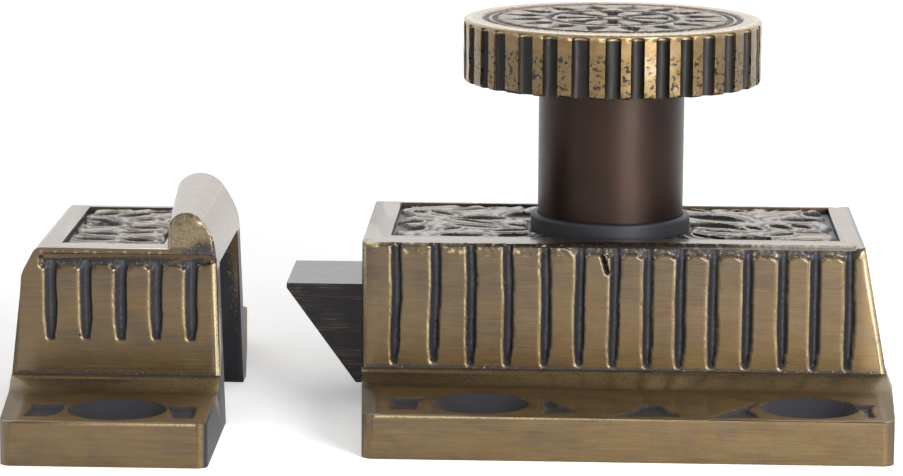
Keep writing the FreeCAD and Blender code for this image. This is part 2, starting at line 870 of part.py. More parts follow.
def make_knob_head():
    """The fluted head of the knob."""
    body = new_body("knob_head")
    body.setExpression("Placement.Base.x", "Sizes.knob_axis")
    under = size("knob_under")
    top = size("knob_top")
    radius = size("knob_radius")
    cylinder(body, "Additive", "disc", radius, top - under, (0, 0, under))
    soften(body, "disc_edges", size("rim_round"),
           lambda edge: isinstance(edge.Curve, Part.Circle))
    middle = -radius + size("flute_sink")
    straight_end = size("flute_top") - size("flute_radius")
    flute = cylinder(body, "Subtractive", "flute", size("flute_radius"),
                     straight_end - under + OVERRUN, (0, middle, under - OVERRUN))
    flute_end = ball(body, "Subtractive", "flute_end", size("flute_radius"),
                     (0, middle, straight_end))
    ring = body.newObject("PartDesign::PolarPattern", "flutes")
    ring.Originals = [flute, flute_end]
    ring.Axis = (origin_axis(body, "Z_Axis"), [""])
    ring.Angle = 360
    body.Tip = ring
    ring.setExpression("Occurrences", "Sizes.flute_count")
    doc.recompute()
    cylinder(body, "Subtractive", "spigot_bore", size("spindle_radius"),
             size("spigot_long"), (0, 0, under))
    return body


def origin_axis(body, role):
    for item in body.Origin.OriginFeatures:
        if item.Role == role:
            return item
    raise ValueError("no axis " + role)


def make_strike():
    """The cast strike: flanges, walls and the humped lip over its pocket."""
    body = new_body("strike")
    body.setExpression("Placement.Base.y", "Sizes.strike_shift")
    left = size("strike_left")
    right = size("strike_right")
    cast_section(body, left, right - left, size("case_height"))
    trim_strike_outline(body)
    sink_strike_field(body)
    add_lip(body)
    draw_in_corners(body, left, right, size("strike_draw"), size("flange_thick"))
    soften(body, "strike_corners", size("corner_round"),
           lambda edge: is_upright(edge) and is_flange_corner(edge))
    strike_pocket(body)
    strike_ornament(body)
    wood_screw_holes(body, [size("strike_hole")])
    return body


def trim_strike_outline(body):
    """Shape the strike in the front view: sloped ends and a rounded chamfer."""
    left = size("strike_left")
    right = size("strike_right")
    top = size("case_height")
    above = top + OVERRUN
    outside = left - OVERRUN
    beyond = right + OVERRUN
    flange = size("flange_thick")
    face = size("strike_face")
    face_high = size("strike_face_high")
    chamfer = size("strike_chamfer")
    trim_side(body, "strike_left_trim", [
        (left, flange), (face, face_high), (chamfer, top), (chamfer, above),
        (outside, above), (outside, flange)])
    inner = size("lip_rise_front")
    end = size("lip_end")
    end_high = size("lip_end_high")
    trim_side(body, "strike_right_trim", [
        (inner, end_high), (end, end_high), (right, 0), (beyond, 0), (beyond, above),
        (inner, above)])
    soften(body, "strike_shoulder", size("shoulder_round"),
           lambda edge: along_depth(edge, chamfer.value, top.value))
    soften(body, "strike_face_round", size("face_round"),
           lambda edge: along_depth(edge, face.value, face_high.value))


def add_lip(body):
    """The humped lip, drawn from its front profile to its wider back one."""
    wall = size("case_half_depth")
    loft = body.newObject("PartDesign::AdditiveLoft", "lip")
    loft.Profile = lip_profile(body, "front", wall)
    loft.Sections = [lip_profile(body, "back", -wall)]
    loft.Ruled = True
    doc.recompute()
    return loft


def lip_profile(body, end, lift):
    """The lip's outline in the front view, at its front or its back end."""
    sketch = new_sketch(body, "lip_%s_sketch" % end, "XZ_Plane", lift)
    right = size("lip_end")
    high = size("lip_end_high")
    low = high - OVERRUN
    add_outline(sketch, [
        (size("lip_foot_" + end), low), (right, low),
        (right, high, Arc(size("lip_curl_" + end), True)),
        (size("lip_fall_" + end), size("lip_fall_high_" + end),
         Arc(size("lip_crown_" + end), True)),
        (size("lip_rise_" + end), size("lip_rise_high"))])
    sketch.Visibility = False
    return sketch


def strike_pocket(body):
    """The hollow under the lip that takes the bolt, open at its end."""
    half = size("pocket_half")
    left = size("pocket_left")
    roof = size("pocket_roof")
    mouth = size("mouth_high")
    beyond = size("strike_right") + OVERRUN
    under = as_size(-OVERRUN)
    sketch = new_sketch(body, "pocket_sketch", "XZ_Plane", half)
    add_outline(sketch, [
        (left, under), (beyond, under), (beyond, mouth), (size("lip_end"), mouth),
        (size("mouth_inner"), roof), (left, roof)])
    cut(body, sketch, "pocket", half * 2)


def strike_ornament(body):
    """Grooves, bands and the sunk field of the strike."""
    first = size("strike_groove_first")
    pitch = size("strike_groove_pitch")
    middles = [first + pitch * n for n in range(STRIKE_GROOVE_COUNT)]
    upright_grooves(body, "strike_grooves", middles, size("strike_groove_foot"),
                    size("strike_band_low") + size("groove_nip"))
    sunk_band(body, "strike_band", size("strike_band_left"), size("strike_band_right"),
              size("strike_band_low"), size("strike_band_high"))


def sink_strike_field(body):
    """The sunk ground of the ornament, which runs up against the lip."""
    top = size("case_height")
    box(body, "Subtractive", "strike_field",
        (size("strike_panel_left"), size("strike_panel_front"), top - size("panel_deep")),
        (size("strike_panel_right"), size("strike_panel_back"), top + OVERRUN))


def check_and_write(nodes):
    """Stop on any bad object, then write one file for each piece."""
    doc.recompute()
    for thing in doc.Objects:
        if "Invalid" in thing.State or "Error" in thing.State:
            raise ValueError("bad object " + thing.Name)
    os.makedirs(PART_FOLDER, exist_ok=True)
    for node in nodes:
        shape = node.Shape
        if shape.isNull() or not shape.isValid():
            raise ValueError("bad shape " + node.Label)
        if shape.Volume <= 0:
            raise ValueError("empty shape " + node.Label)
        shape.exportStep(os.path.join(PART_FOLDER, node.Label + ".step"))
        print("wrote", node.Label, round(shape.Volume, 1), len(shape.Solids))


def main():
    fill_sheet()
    nodes = [make_case(), make_back_plate()]
    for number, (across, along) in enumerate(plate_screw_places()):
        nodes.append(make_plate_screw(number + 1, across, along))
    nodes += [make_bolt(), make_spring(), make_shank(), make_cam(), make_cam_pin(),
              make_washer(), make_knob_head(), make_strike()]
    check_and_write(nodes)


main()
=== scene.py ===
"""Cupboard catch latch, dressed for its picture: cast brass latch, turning knob, sprung bolt and strike.

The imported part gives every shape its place. Each class here works up one sub-assembly from its own
nodes: edges are rounded, the hand-cut ornament is carved, and each metal gets its finish.
"""
from __future__ import annotations

import json
import logging
import math
from collections.abc import Callable, Iterable, Sequence
from dataclasses import dataclass
from enum import Enum

import bmesh
import bpy
from mathutils import Matrix, Vector, noise

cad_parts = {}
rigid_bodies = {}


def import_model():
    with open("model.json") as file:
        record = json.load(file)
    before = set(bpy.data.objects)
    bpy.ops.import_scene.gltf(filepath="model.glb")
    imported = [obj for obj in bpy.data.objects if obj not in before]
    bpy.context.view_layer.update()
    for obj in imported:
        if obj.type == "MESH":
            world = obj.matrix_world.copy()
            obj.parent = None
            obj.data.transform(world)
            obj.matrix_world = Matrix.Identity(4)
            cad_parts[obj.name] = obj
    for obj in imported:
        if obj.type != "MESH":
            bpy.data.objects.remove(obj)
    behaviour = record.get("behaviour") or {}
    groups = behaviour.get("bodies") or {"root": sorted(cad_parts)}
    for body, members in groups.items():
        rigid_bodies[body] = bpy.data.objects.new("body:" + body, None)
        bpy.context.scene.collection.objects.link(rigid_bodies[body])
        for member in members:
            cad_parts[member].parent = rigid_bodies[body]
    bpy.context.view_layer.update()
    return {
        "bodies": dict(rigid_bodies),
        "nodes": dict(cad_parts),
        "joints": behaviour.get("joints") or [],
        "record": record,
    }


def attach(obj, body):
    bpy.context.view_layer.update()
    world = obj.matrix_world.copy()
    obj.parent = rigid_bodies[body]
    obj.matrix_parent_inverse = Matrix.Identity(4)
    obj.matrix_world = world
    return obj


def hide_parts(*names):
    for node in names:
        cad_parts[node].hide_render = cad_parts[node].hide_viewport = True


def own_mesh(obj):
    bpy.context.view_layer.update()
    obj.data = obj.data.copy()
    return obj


log = logging.getLogger("catch_latch")
MM = 0.001


class Mark(str, Enum):
    """Names of the point attributes that the finishes read."""

    # The patina and tarnish marks also carry painted shade, and the rub mark carries painted highlight
    # besides real wear.
    PATINA_AND_SHADE = "patina"
    RUB_AND_HIGHLIGHT = "rub"
    TARNISH_AND_SHADE = "tarnish"
    DULL = "dull"


class Body(str, Enum):
    """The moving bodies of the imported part."""

    HOUSING = "housing"
    KNOB = "knob"
    BOLT = "bolt"


class Slot(str, Enum):
    """The record's material slots."""

    BRASS = "antique_brass"
    BRONZE = "dark_bronze"
    BLACK = "black_bolt"
    STEEL = "plain_steel"


def linear(code: str) -> tuple[float, float, float, float]:
    """Turn an sRGB hex colour into linear RGBA.

    Args:
        code: six hex digits.

    Returns:
        Linear red, green, blue and an alpha of 1.
    """
    parts = [int(code[k:k + 2], 16) / 255 for k in (0, 2, 4)]
    toned = [p / 12.92 if p <= 0.04045 else ((p + 0.055) / 1.055) ** 2.4 for p in parts]
    return toned[0], toned[1], toned[2], 1.0


def add_node(tree: bpy.types.NodeTree, kind: str, settings: dict | None = None,
             links: dict | None = None) -> bpy.types.Node:
    """Add a shader node with its settings and incoming links.

    Args:
        tree: the node tree of a material or world.
        kind: the node's type name without the leading "ShaderNode".
        settings: node properties by name, or input values by socket name or number.
        links: output sockets by the name or number of the input that they feed.

    Returns:
        The new node.
    """
    node = tree.nodes.new("ShaderNode" + kind)
    for name, value in (settings or {}).items():
        if isinstance(name, str) and hasattr(node, name):
            setattr(node, name, value)
        else:
            node.inputs[name].default_value = value
    for name, source in (links or {}).items():
        tree.links.new(source, node.inputs[name])
    return node


def smooth(low: float, high: float, value: float) -> float:
    """Ease from 0 below low to 1 above high."""
    share = min(1.0, max(0.0, (value - low) / (high - low)))
    return share * share * (3 - 2 * share)


def wander(x: float, y: float, z: float, size_mm: float) -> float:
    """A steady noise from -1 to 1 whose bumps are about size_mm across; arguments in mm."""
    return noise.noise(Vector((x, y, z)) / size_mm)


class Bench:
    """A material under construction: its node tree, its coordinates and its metal shader."""

    def __init__(self, name: str) -> None:
        """Start an empty material.

        Args:
            name: the finish's common name.
        """
        self.material = bpy.data.materials.new(name)
        self.material.use_nodes = True
        self.tree = self.material.node_tree
        self.tree.nodes.clear()
        self.coords = self.add("TexCoord").outputs["Object"]

    def add(self, kind: str, settings: dict | None = None, links: dict | None = None) -> bpy.types.Node:
        """Add a node to this material's tree."""
        return add_node(self.tree, kind, settings, links)

    def mark(self, name: Mark) -> bpy.types.NodeSocket:
        """The value of one of the point attributes."""
        return self.add("Attribute", {"attribute_name": name.value}).outputs["Fac"]

    def grain(self, across_mm: Sequence[float], detail: float = 2.0) -> bpy.types.NodeSocket:
        """Noise whose bumps measure across_mm along X, Y and Z.

        Args:
            across_mm: bump size in millimetres along each axis.
            detail: how many finer layers are added.

        Returns:
            The noise value, about 0.5 on average.
        """
        scale = [1 / (size * MM) for size in across_mm]
        mapping = self.add("Mapping", {"Scale": scale}, {"Vector": self.coords})
        settings = {"Scale": 1.0, "Detail": detail, "Roughness": 0.6}
        return self.add("TexNoise", settings, {"Vector": mapping.outputs[0]}).outputs[0]

    def ramp(self, value: bpy.types.NodeSocket, low: float, high: float,
             start: float = 0.0, end: float = 1.0) -> bpy.types.NodeSocket:
        """Carry a value from the span low..high to start..end, clamped."""
        settings = {1: low, 2: high, 3: start, 4: end}
        return self.add("MapRange", settings, {0: value}).outputs[0]

    def sum(self, operation: str, first: bpy.types.NodeSocket,
            second: bpy.types.NodeSocket | float) -> bpy.types.NodeSocket:
        """One arithmetic step on a value and a second value or number."""
        settings = {"operation": operation}
        links = {0: first}
        if isinstance(second, float):
            settings[1] = second
        else:
            links[1] = second
        return self.add("Math", settings, links).outputs[0]

    def blend(self, factor: bpy.types.NodeSocket, first: str | bpy.types.NodeSocket,
              second: str | bpy.types.NodeSocket) -> bpy.types.NodeSocket:
        """Mix two colours, each a hex code or a socket, by a factor."""
        settings: dict = {"data_type": "RGBA"}
        links = {0: factor}
        for socket, colour in ((6, first), (7, second)):
            if isinstance(colour, str):
                settings[socket] = linear(colour)
            else:
                links[socket] = colour
        return self.add("Mix", settings, links).outputs[2]

    def bump(self, height: bpy.types.NodeSocket, distance_mm: float, strength: float,
             under: bpy.types.NodeSocket | None = None) -> bpy.types.NodeSocket:
        """A bump of a real depth, laid over another one."""
        links = {"Height": height}
        if under is not None:
            links["Normal"] = under
        settings = {"Distance": distance_mm * MM, "Strength": strength}
        return self.add("Bump", settings, links).outputs[0]

    def finish(self, settings: dict, links: dict) -> bpy.types.Material:
        """Close the tree with a metal shader and return the material."""
        shader = self.add("BsdfPrincipled", settings, links)
        self.add("OutputMaterial", None, {"Surface": shader.outputs[0]})
        return self.material


@dataclass(frozen=True)
class AntiqueBrass:
    """Cast brass, brushed, dipped to darken it, worn back bright on the high places and lacquered.

    The brushing gives fine level lines, the dip a mottled brown, and the recesses stay blue-black. The
    walls are painted greyer towards their top, and the upward faces and the crease at the wall's foot
    are painted darker as shade. The edges that hands touch are pale gold, and the same pale gold is
    painted as highlight on the left rims of the cuts, the upright end corners and the coves. The lacquer
    is clear and hard: seen at a low angle it mirrors the white room, so that the flat tops look silver.
    """

    name: str = "antique_brass_brushed"
    brass: str = "78623E"
    warm: str = "7B5A33"
    violet: str = "5C4E48"
    tarnish: str = "4A3F35"
    # Pale gold of worn edges, also laid on as painted highlight.
    pale_gold: str = "D9C69A"
    streak: float = 0.07
    patina: str = "323237"
    crumb: str = "A58B58"
    brush_long_mm: float = 4.5
    brush_fine_mm: float = 0.12    # real lines are about 0.05 mm: drawn as coarse as they show
    mottle_mm: float = 2.4
    crumb_mm: float = 0.24
    pitting: float = 0.0

    def tone(self, bench: Bench, brush: bpy.types.NodeSocket,
             crumbs: bpy.types.NodeSocket) -> bpy.types.NodeSocket:
        """Colour of the metal outside the recesses.

        Args:
            bench: the material under construction.
            brush: the noise of the brushing.
            crumbs: the fine noise.

        Returns:
            The colour.
        """
        mottle = bench.grain((self.mottle_mm * 2.2, self.mottle_mm, self.mottle_mm * 0.8), 4.0)
        patches = bench.grain((self.mottle_mm * 1.6,) * 3, 3.0)
        shade = bench.grain((self.mottle_mm * 1.1,) * 3, 2.0)
        colour = bench.blend(bench.sum("MULTIPLY", bench.ramp(patches, 0.46, 0.66), 0.45),
                             self.brass, self.warm)
        colour = bench.blend(bench.sum("MULTIPLY", bench.ramp(shade, 0.5, 0.68), 0.3), colour,
                             self.violet)
        dull = bench.sum("ADD", bench.sum("MULTIPLY", bench.ramp(mottle, 0.44, 0.68), 0.35),
                         bench.sum("MULTIPLY", bench.mark(Mark.TARNISH_AND_SHADE), 0.8))
        colour = bench.blend(bench.ramp(dull, 0.0, 1.0), colour, self.tarnish)
        streak = bench.sum("MULTIPLY", bench.ramp(brush, 0.42, 0.68), self.streak)
        colour = bench.blend(streak, colour, self.pale_gold)
        # Pale gold where the rub mark is set: real wear on edges, and painted highlight on the left cut
        # rims, the end corners and the coves.
        worn_and_highlight = bench.sum("MULTIPLY", bench.mark(Mark.RUB_AND_HIGHLIGHT), bench.ramp(crumbs, 0.3, 0.55, 0.45, 1.0))
        return bench.blend(bench.ramp(worn_and_highlight, 0.1, 0.8), colour, self.pale_gold)

    def build(self) -> bpy.types.Material:
        """Make the material."""
        bench = Bench(self.name)
        brush = bench.grain((self.brush_long_mm, self.brush_fine_mm, self.brush_fine_mm), 3.0)
        crumbs = bench.grain((self.crumb_mm,) * 3, 2.0)
        colour = self.tone(bench, brush, crumbs)
        if self.pitting > 0:
            pits = bench.ramp(bench.grain((self.crumb_mm * 1.5,) * 3, 3.0), 0.53, 0.6)
            pits = bench.sum("MULTIPLY", pits, bench.mark(Mark.TARNISH_AND_SHADE))
            colour = bench.blend(bench.sum("MULTIPLY", pits, self.pitting), colour, self.patina)
        patina_and_shade_mark = bench.mark(Mark.PATINA_AND_SHADE)
        fringe = bench.ramp(crumbs, 0.3, 0.7, -0.22, 0.22)
        depth = bench.ramp(bench.sum("ADD", patina_and_shade_mark, fringe), 0.34, 0.6)
        colour = bench.blend(depth, colour, self.patina)
        shallow = bench.ramp(patina_and_shade_mark, 0.75, 0.95, 1.0, 0.0)
        speck = bench.sum("MULTIPLY", bench.ramp(crumbs, 0.63, 0.7), shallow)
        colour = bench.blend(bench.sum("MULTIPLY", speck, depth), colour, self.crumb)
        rough = bench.sum("ADD", bench.ramp(brush, 0.3, 0.7, 0.4, 0.52),
                          bench.sum("MULTIPLY", bench.mark(Mark.DULL), 0.2))
        rough_deep = bench.add("Mix", {"data_type": "FLOAT", 3: 0.5}, {0: depth, 2: rough}).outputs[0]
        metal = bench.ramp(depth, 0.0, 1.0, 1.0, 0.3)
        lines = bench.bump(brush, 0.015, 0.3)
        normal = bench.bump(crumbs, 0.05, 0.3, lines)
        dull = bench.mark(Mark.DULL)
        film = bench.sum("SUBTRACT", bench.ramp(depth, 0.0, 1.0, 0.9, 0.12),
                         bench.sum("MULTIPLY", dull, 0.75))
        film = bench.sum("MAXIMUM", film, 0.0)
        return bench.finish({"Coat Roughness": 0.2},
                            {"Base Color": colour, "Roughness": rough_deep, "Metallic": metal,
                             "Normal": normal, "Coat Normal": bench.bump(crumbs, 0.02, 0.25),
                             "Coat Weight": film})


@dataclass(frozen=True)
class DarkBronze:
    """Turned bar, darkened to near black and waxed: a soft brown sheen with faint turning lines."""

    name: str = "dark_bronze_turned"
    bronze: str = "44332B"
    film: str = "1C1D20"
    turn_mm: float = 0.16          # pitch of the turning lines, drawn coarser than real

    def build(self) -> bpy.types.Material:
        """Make the material."""
        bench = Bench(self.name)
        turning = bench.grain((30.0, 30.0, self.turn_mm), 2.0)
        cloud = bench.grain((6.0, 6.0, 9.0), 2.0)
        colour = bench.blend(bench.ramp(cloud, 0.3, 0.75, 0.15, 0.6), self.bronze, self.film)
        rough = bench.ramp(turning, 0.3, 0.7, 0.36, 0.42)
        normal = bench.bump(turning, 0.006, 0.2)
        return bench.finish({"Metallic": 1.0, "Coat Weight": 0.15, "Coat Roughness": 0.3},
                            {"Base Color": colour, "Roughness": rough, "Normal": normal})


@dataclass(frozen=True)
class BlackenedMetal:
    """Milled bolt, chemically blackened: near black, with brown wear in level streaks.

    It turns bare grey where a mesh marks its edges as worn, which the bolt's mesh does not; an oil film
    mirrors the room at a low angle.
    """

    name: str = "blackened_milled"
    black: str = "201E20"
    wear: str = "6E5642"
    bare: str = "8C8882"
    mill_mm: float = 0.14          # width of the milling lines, drawn coarser than real

    def build(self) -> bpy.types.Material:
        """Make the material."""
        bench = Bench(self.name)
        lines = bench.grain((5.0, self.mill_mm, self.mill_mm), 3.0)
        cloud = bench.grain((3.0, 2.0, 1.0), 3.0)
        wear = bench.sum("MULTIPLY", bench.ramp(lines, 0.5, 0.66), bench.ramp(cloud, 0.46, 0.62))
        colour = bench.blend(wear, self.black, self.wear)
        rub = bench.sum("MULTIPLY", bench.mark(Mark.RUB_AND_HIGHLIGHT), bench.ramp(lines, 0.3, 0.6, 0.5, 1.0))
        colour = bench.blend(rub, colour, self.bare)
        rough = bench.ramp(lines, 0.3, 0.7, 0.3, 0.42)
        normal = bench.bump(lines, 0.03, 0.4)
        return bench.finish({"Metallic": 1.0, "Coat Weight": 0.5, "Coat Roughness": 0.25},
                            {"Base Color": colour, "Roughness": rough, "Normal": normal})


@dataclass(frozen=True)
class PlainSteel:
    """Bare steel of the parts inside: pressed or turned, slightly dull."""

    name: str = "plain_steel_dull"
    steel: str = "8E8F93"
    stain: str = "6B675F"

    def build(self) -> bpy.types.Material:
        """Make the material."""
        bench = Bench(self.name)
        cloud = bench.grain((2.0, 2.0, 2.0), 4.0)
        grit = bench.grain((0.2, 0.2, 0.2), 2.0)
        colour = bench.blend(bench.ramp(cloud, 0.45, 0.7), self.steel, self.stain)
        rough = bench.ramp(grit, 0.3, 0.7, 0.3, 0.42)
        return bench.finish({"Metallic": 1.0},
                            {"Base Color": colour, "Roughness": rough,
                             "Normal": bench.bump(grit, 0.01, 0.3)})


@dataclass(frozen=True)
class SpringCoil:
    """The bolt's spring, copied from its node; it keeps its length as the bolt is drawn in.

    Attributes:
        node: the CAD node that it stands for.
        joint: the slide that presses it together; not used.
        travel: how far the slide goes, in mm; not used.
    """

    node: str = "bolt_spring"
    joint: str = "bolt_slide"
    travel: float = 7.42

    def build(self, frame: dict, material: bpy.types.Material) -> bpy.types.Object:
        """Make the coil, fixed at its right end.

        Args:
            material: the steel.

        Returns:
            The coil.
        """
        data = frame["nodes"][self.node].data.copy()
        data.materials.clear()
        data.materials.append(material)
        coil = bpy.data.objects.new("spring_coil", data)
        bpy.context.scene.collection.objects.link(coil)
        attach(coil, Body.HOUSING.value)
        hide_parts(self.node)
        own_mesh(coil)
        return coil


@dataclass(frozen=True)
class PaperFloor:
    """Matt white paper: white to the eye and in reflections, and it still takes a shadow."""

    name: str = "white_paper"
    paper: str = "F4F4F4"
    fill: float = 0.32             # what the eye and the metal see on top of the lit paper

    def build(self) -> bpy.types.Material:
        """Make the material."""
        bench = Bench(self.name)
        fibre = bench.grain((4.0, 4.0, 4.0), 2.0)
        path = bench.add("LightPath")
        seen = bench.sum("MAXIMUM", path.outputs["Is Camera Ray"], path.outputs["Is Glossy Ray"])
        paper = bench.add("BsdfDiffuse", {"Color": linear(self.paper)},
                          {"Roughness": bench.ramp(fibre, 0.3, 0.7, 0.4, 0.6)})
        glow = bench.add("Emission", None, {"Strength": bench.sum("MULTIPLY", seen, self.fill)})
        both = bench.add("AddShader", None, {0: paper.outputs[0], 1: glow.outputs[0]})
        bench.add("OutputMaterial", None, {"Surface": both.outputs[0]})
        return bench.material


@dataclass(frozen=True)
class Stroke:
    """One leaf-shaped chisel cut seen from above, in mm.

    Attributes:
        x0, y0, x1, y1: its two tips.
        half: half of its width where it is widest.
        bow: how far its middle swings to the left of the line between the tips.
        deep: its depth as a share of the relief.
    """

    x0: float
    y0: float
    x1: float
    y1: float
    half: float
    bow: float = 0.0
    deep: float = 1.0

    def gap(self, x: float, y: float) -> float:
        """How far a point is from the cut's edge, in mm: below 0 inside the cut."""
        along_x, along_y = self.x1 - self.x0, self.y1 - self.y0
        square = along_x * along_x + along_y * along_y
        share = ((x - self.x0) * along_x + (y - self.y0) * along_y) / square
        if not 0 < share < 1:
            end_x, end_y = (self.x0, self.y0) if share <= 0 else (self.x1, self.y1)
            return math.hypot(x - end_x, y - end_y)
        swell = 4 * share * (1 - share)
        aside = ((y - self.y0) * along_x - (x - self.x0) * along_y) / math.sqrt(square)
        return abs(aside - self.bow * swell) - self.half * swell ** 0.7

    def depth(self, gap: float) -> float:
        """How deep the cut is at a gap from its edge, from 0 outside to its own depth."""
        return self.deep * (1.0 - smooth(-0.25, 0.16, gap))


@dataclass
class WorkedPiece:
    """A piece worked up from the CAD node that it stands for.

    Attributes:
        node: the CAD node.
        piece: the new piece's name.
        body: the body that it rides on.
        slot: the record's slot for its finish; not used.
    """

    node: str
    piece: str
    body: Body
    slot: Slot

    def lift(self, frame: dict) -> bmesh.types.BMesh:
        """Copy the node's mesh, join its loose triangles and clear its flat faces.

        Returns:
            A mesh in metres with whole flat faces and the four mark layers.
        """
        mesh = bmesh.new()
        mesh.from_mesh(frame["nodes"][self.node].data)
        self.clear(mesh)
        for mark in Mark:
            mesh.verts.layers.float.new(mark.value)
        return mesh

    def clear(self, mesh: bmesh.types.BMesh) -> None:
        """Join what coincides and make each flat stretch one face."""
        bmesh.ops.remove_doubles(mesh, verts=mesh.verts, dist=0.002 * MM)
        bmesh.ops.dissolve_limit(mesh, angle_limit=math.radians(0.4), verts=mesh.verts,
                                 edges=mesh.edges)
        mesh.normal_update()

    def store(self, mesh: bmesh.types.BMesh, material: bpy.types.Material,
              sharp_degrees: float = 38.0) -> bpy.types.Object:
        """Make the finished mesh an object that rides on its body in place of its node."""
        mesh.normal_update()
        tarnish = mesh.verts.layers.float[Mark.TARNISH_AND_SHADE.value]
        # Upward faces are painted greyer, more so above 10 mm: painted shade on the tops.
        for vert in {vert for face in mesh.faces if face.normal.z > 0.85 for vert in face.verts}:
            vert[tarnish] = max(vert[tarnish], 0.6 if vert.co.z > 10 * MM else 0.25)
        data = bpy.data.meshes.new(self.piece)
        mesh.to_mesh(data)
        mesh.free()
        data.shade_smooth()
        data.set_sharp_from_angle(angle=math.radians(sharp_degrees))
        data.materials.append(material)
        thing = bpy.data.objects.new(self.piece, data)
        bpy.context.scene.collection.objects.link(thing)
        flat = thing.modifiers.new("flat_faces_stay_flat", "WEIGHTED_NORMAL")
        flat.keep_sharp = True
        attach(thing, self.body.value)
        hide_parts(self.node)
        triangles = sum(len(face.vertices) - 2 for face in data.polygons)
        log.info("%s: %d triangles on %s", self.piece, triangles, self.body.value)
        return thing


def middle_mm(item: bmesh.types.BMEdge | bmesh.types.BMFace) -> Vector:
    """The middle of an edge or a face, in mm."""
    if isinstance(item, bmesh.types.BMFace):
        return item.calc_center_median() / MM
    return (item.verts[0].co + item.verts[1].co) / (2 * MM)


def outward_edges(mesh: bmesh.types.BMesh, least_degrees: float,
                  test: Callable[[bmesh.types.BMEdge, Vector], bool]) -> list[bmesh.types.BMEdge]:
    """Edges that stand out by more than an angle and pass a test of edge and middle in mm."""
    least = math.radians(least_degrees)
    return [edge for edge in mesh.edges
            if len(edge.link_faces) == 2 and edge.is_convex
            and edge.calc_face_angle(0.0) > least and test(edge, middle_mm(edge))]


def round_off(mesh: bmesh.types.BMesh, edges: list[bmesh.types.BMEdge], width_mm: float,
              segments: int = 2, rub: float = 1.0) -> None:
    """Round edges and mark the crown of each round bright: worn edges, and painted highlight where light
    catches them.

    Args:
        mesh: the mesh.
        edges: the edges to round.
        width_mm: how far in from the edge the round starts.
        segments: strips per round; the lines between them are the crown.
        rub: how bright the crown is marked, as wear and painted highlight.
    """
    if not edges:
        return
    made = bmesh.ops.bevel(mesh, geom=edges, offset=width_mm * MM, offset_type="OFFSET",
                           segments=segments, profile=0.5, affect="EDGES", clamp_overlap=False,
                           material=-1, loop_slide=True)
    strips = set(made["faces"])
    layer = mesh.verts.layers.float[Mark.RUB_AND_HIGHLIGHT.value]
    for vert in made["verts"]:
        if vert.is_valid and all(face in strips for face in vert.link_faces):
            vert[layer] = max(vert[layer], rub)


def score(mesh: bmesh.types.BMesh, faces: Iterable[bmesh.types.BMFace], axis: int,
          places_mm: Sequence[float]) -> list[bmesh.types.BMFace]:
    """Score parallel lines across faces, so that they can be carved.

    Args:
        mesh: the mesh.
        faces: the faces to divide.
        axis: 0, 1 or 2 for lines at steps of X, Y or Z.
        places_mm: where the lines are, rising.

    Returns:
        The faces that the old ones were divided into.
    """
    normal = Vector((0, 0, 0))
    normal[axis] = 1
    ahead = list(faces)
    done: list[bmesh.types.BMFace] = []
    for place in places_mm:
        spot = normal * place * MM
        parts = {item for face in ahead for item in (*face.verts, *face.edges)}
        cut = bmesh.ops.bisect_plane(mesh, geom=[*ahead, *parts], dist=1e-8, plane_co=spot,
                                     plane_no=normal)
        ahead = []
        for item in cut["geom"]:
            if isinstance(item, bmesh.types.BMFace):
                if item.calc_center_median()[axis] > place * MM:
                    ahead.append(item)
                else:
                    done.append(item)
    return done + ahead


def steps(low: float, high: float, size: float) -> list[float]:
    """Evenly spaced places from low to high, about size apart."""
    count = max(1, round((high - low) / size))
    return [low + (high - low) * k / count for k in range(count + 1)]


def level_faces(mesh: bmesh.types.BMesh, height_mm: float, left: float, right: float,
                front: float, back: float) -> list[bmesh.types.BMFace]:
    """Upward faces at a height whose middles lie in a rectangle, in mm."""
    chosen = []
    for face in mesh.faces:
        spot = middle_mm(face)
        if (face.normal.z > 0.99 and abs(spot.z - height_mm) < 0.01
                and left < spot.x < right and front < spot.y < back):
            chosen.append(face)
    return chosen


@dataclass(frozen=True)
class Pit:
    """A hand-cut sunk patch seen from above: its corners in mm, going round."""

    corners: tuple[tuple[float, float], ...]
    wall: float = 0.3
    ragged: float = 0.22

    def depth(self, x: float, y: float) -> float:
        """How deep the patch is at a point, from 0 outside to 1 on its floor."""
        x += self.ragged * wander(x, y, 3.0, 0.9)
        y += self.ragged * wander(x, y, 7.0, 0.9)
        inside = False
        nearest = 1e9
        for here, there in zip(self.corners, self.corners[1:] + self.corners[:1]):
            if (here[1] > y) != (there[1] > y):
                meet = here[0] + (y - here[1]) * (there[0] - here[0]) / (there[1] - here[1])
                inside = inside != (x < meet)
            run_x, run_y = there[0] - here[0], there[1] - here[1]
            share = ((x - here[0]) * run_x + (y - here[1]) * run_y) / (run_x ** 2 + run_y ** 2)
            share = min(1.0, max(0.0, share))
            away = math.hypot(x - here[0] - share * run_x, y - here[1] - share * run_y)
            nearest = min(nearest, away)
        return smooth(0.0, self.wall, nearest) if inside else 0.0

    def span(self, axis: int) -> tuple[float, float]:
        """Its lowest and highest place along X (0) or Y (1), with a margin."""
        places = [corner[axis] for corner in self.corners]
        return min(places) - self.wall, max(places) + self.wall


@dataclass(frozen=True)
class Carved:
    """What the chisel left at one point of a wall: depth in mm, rim brightness (wear, partly painted
    highlight) and dark floor, 0 to 1.
    """

    depth: float
    rim: float
    dark: float


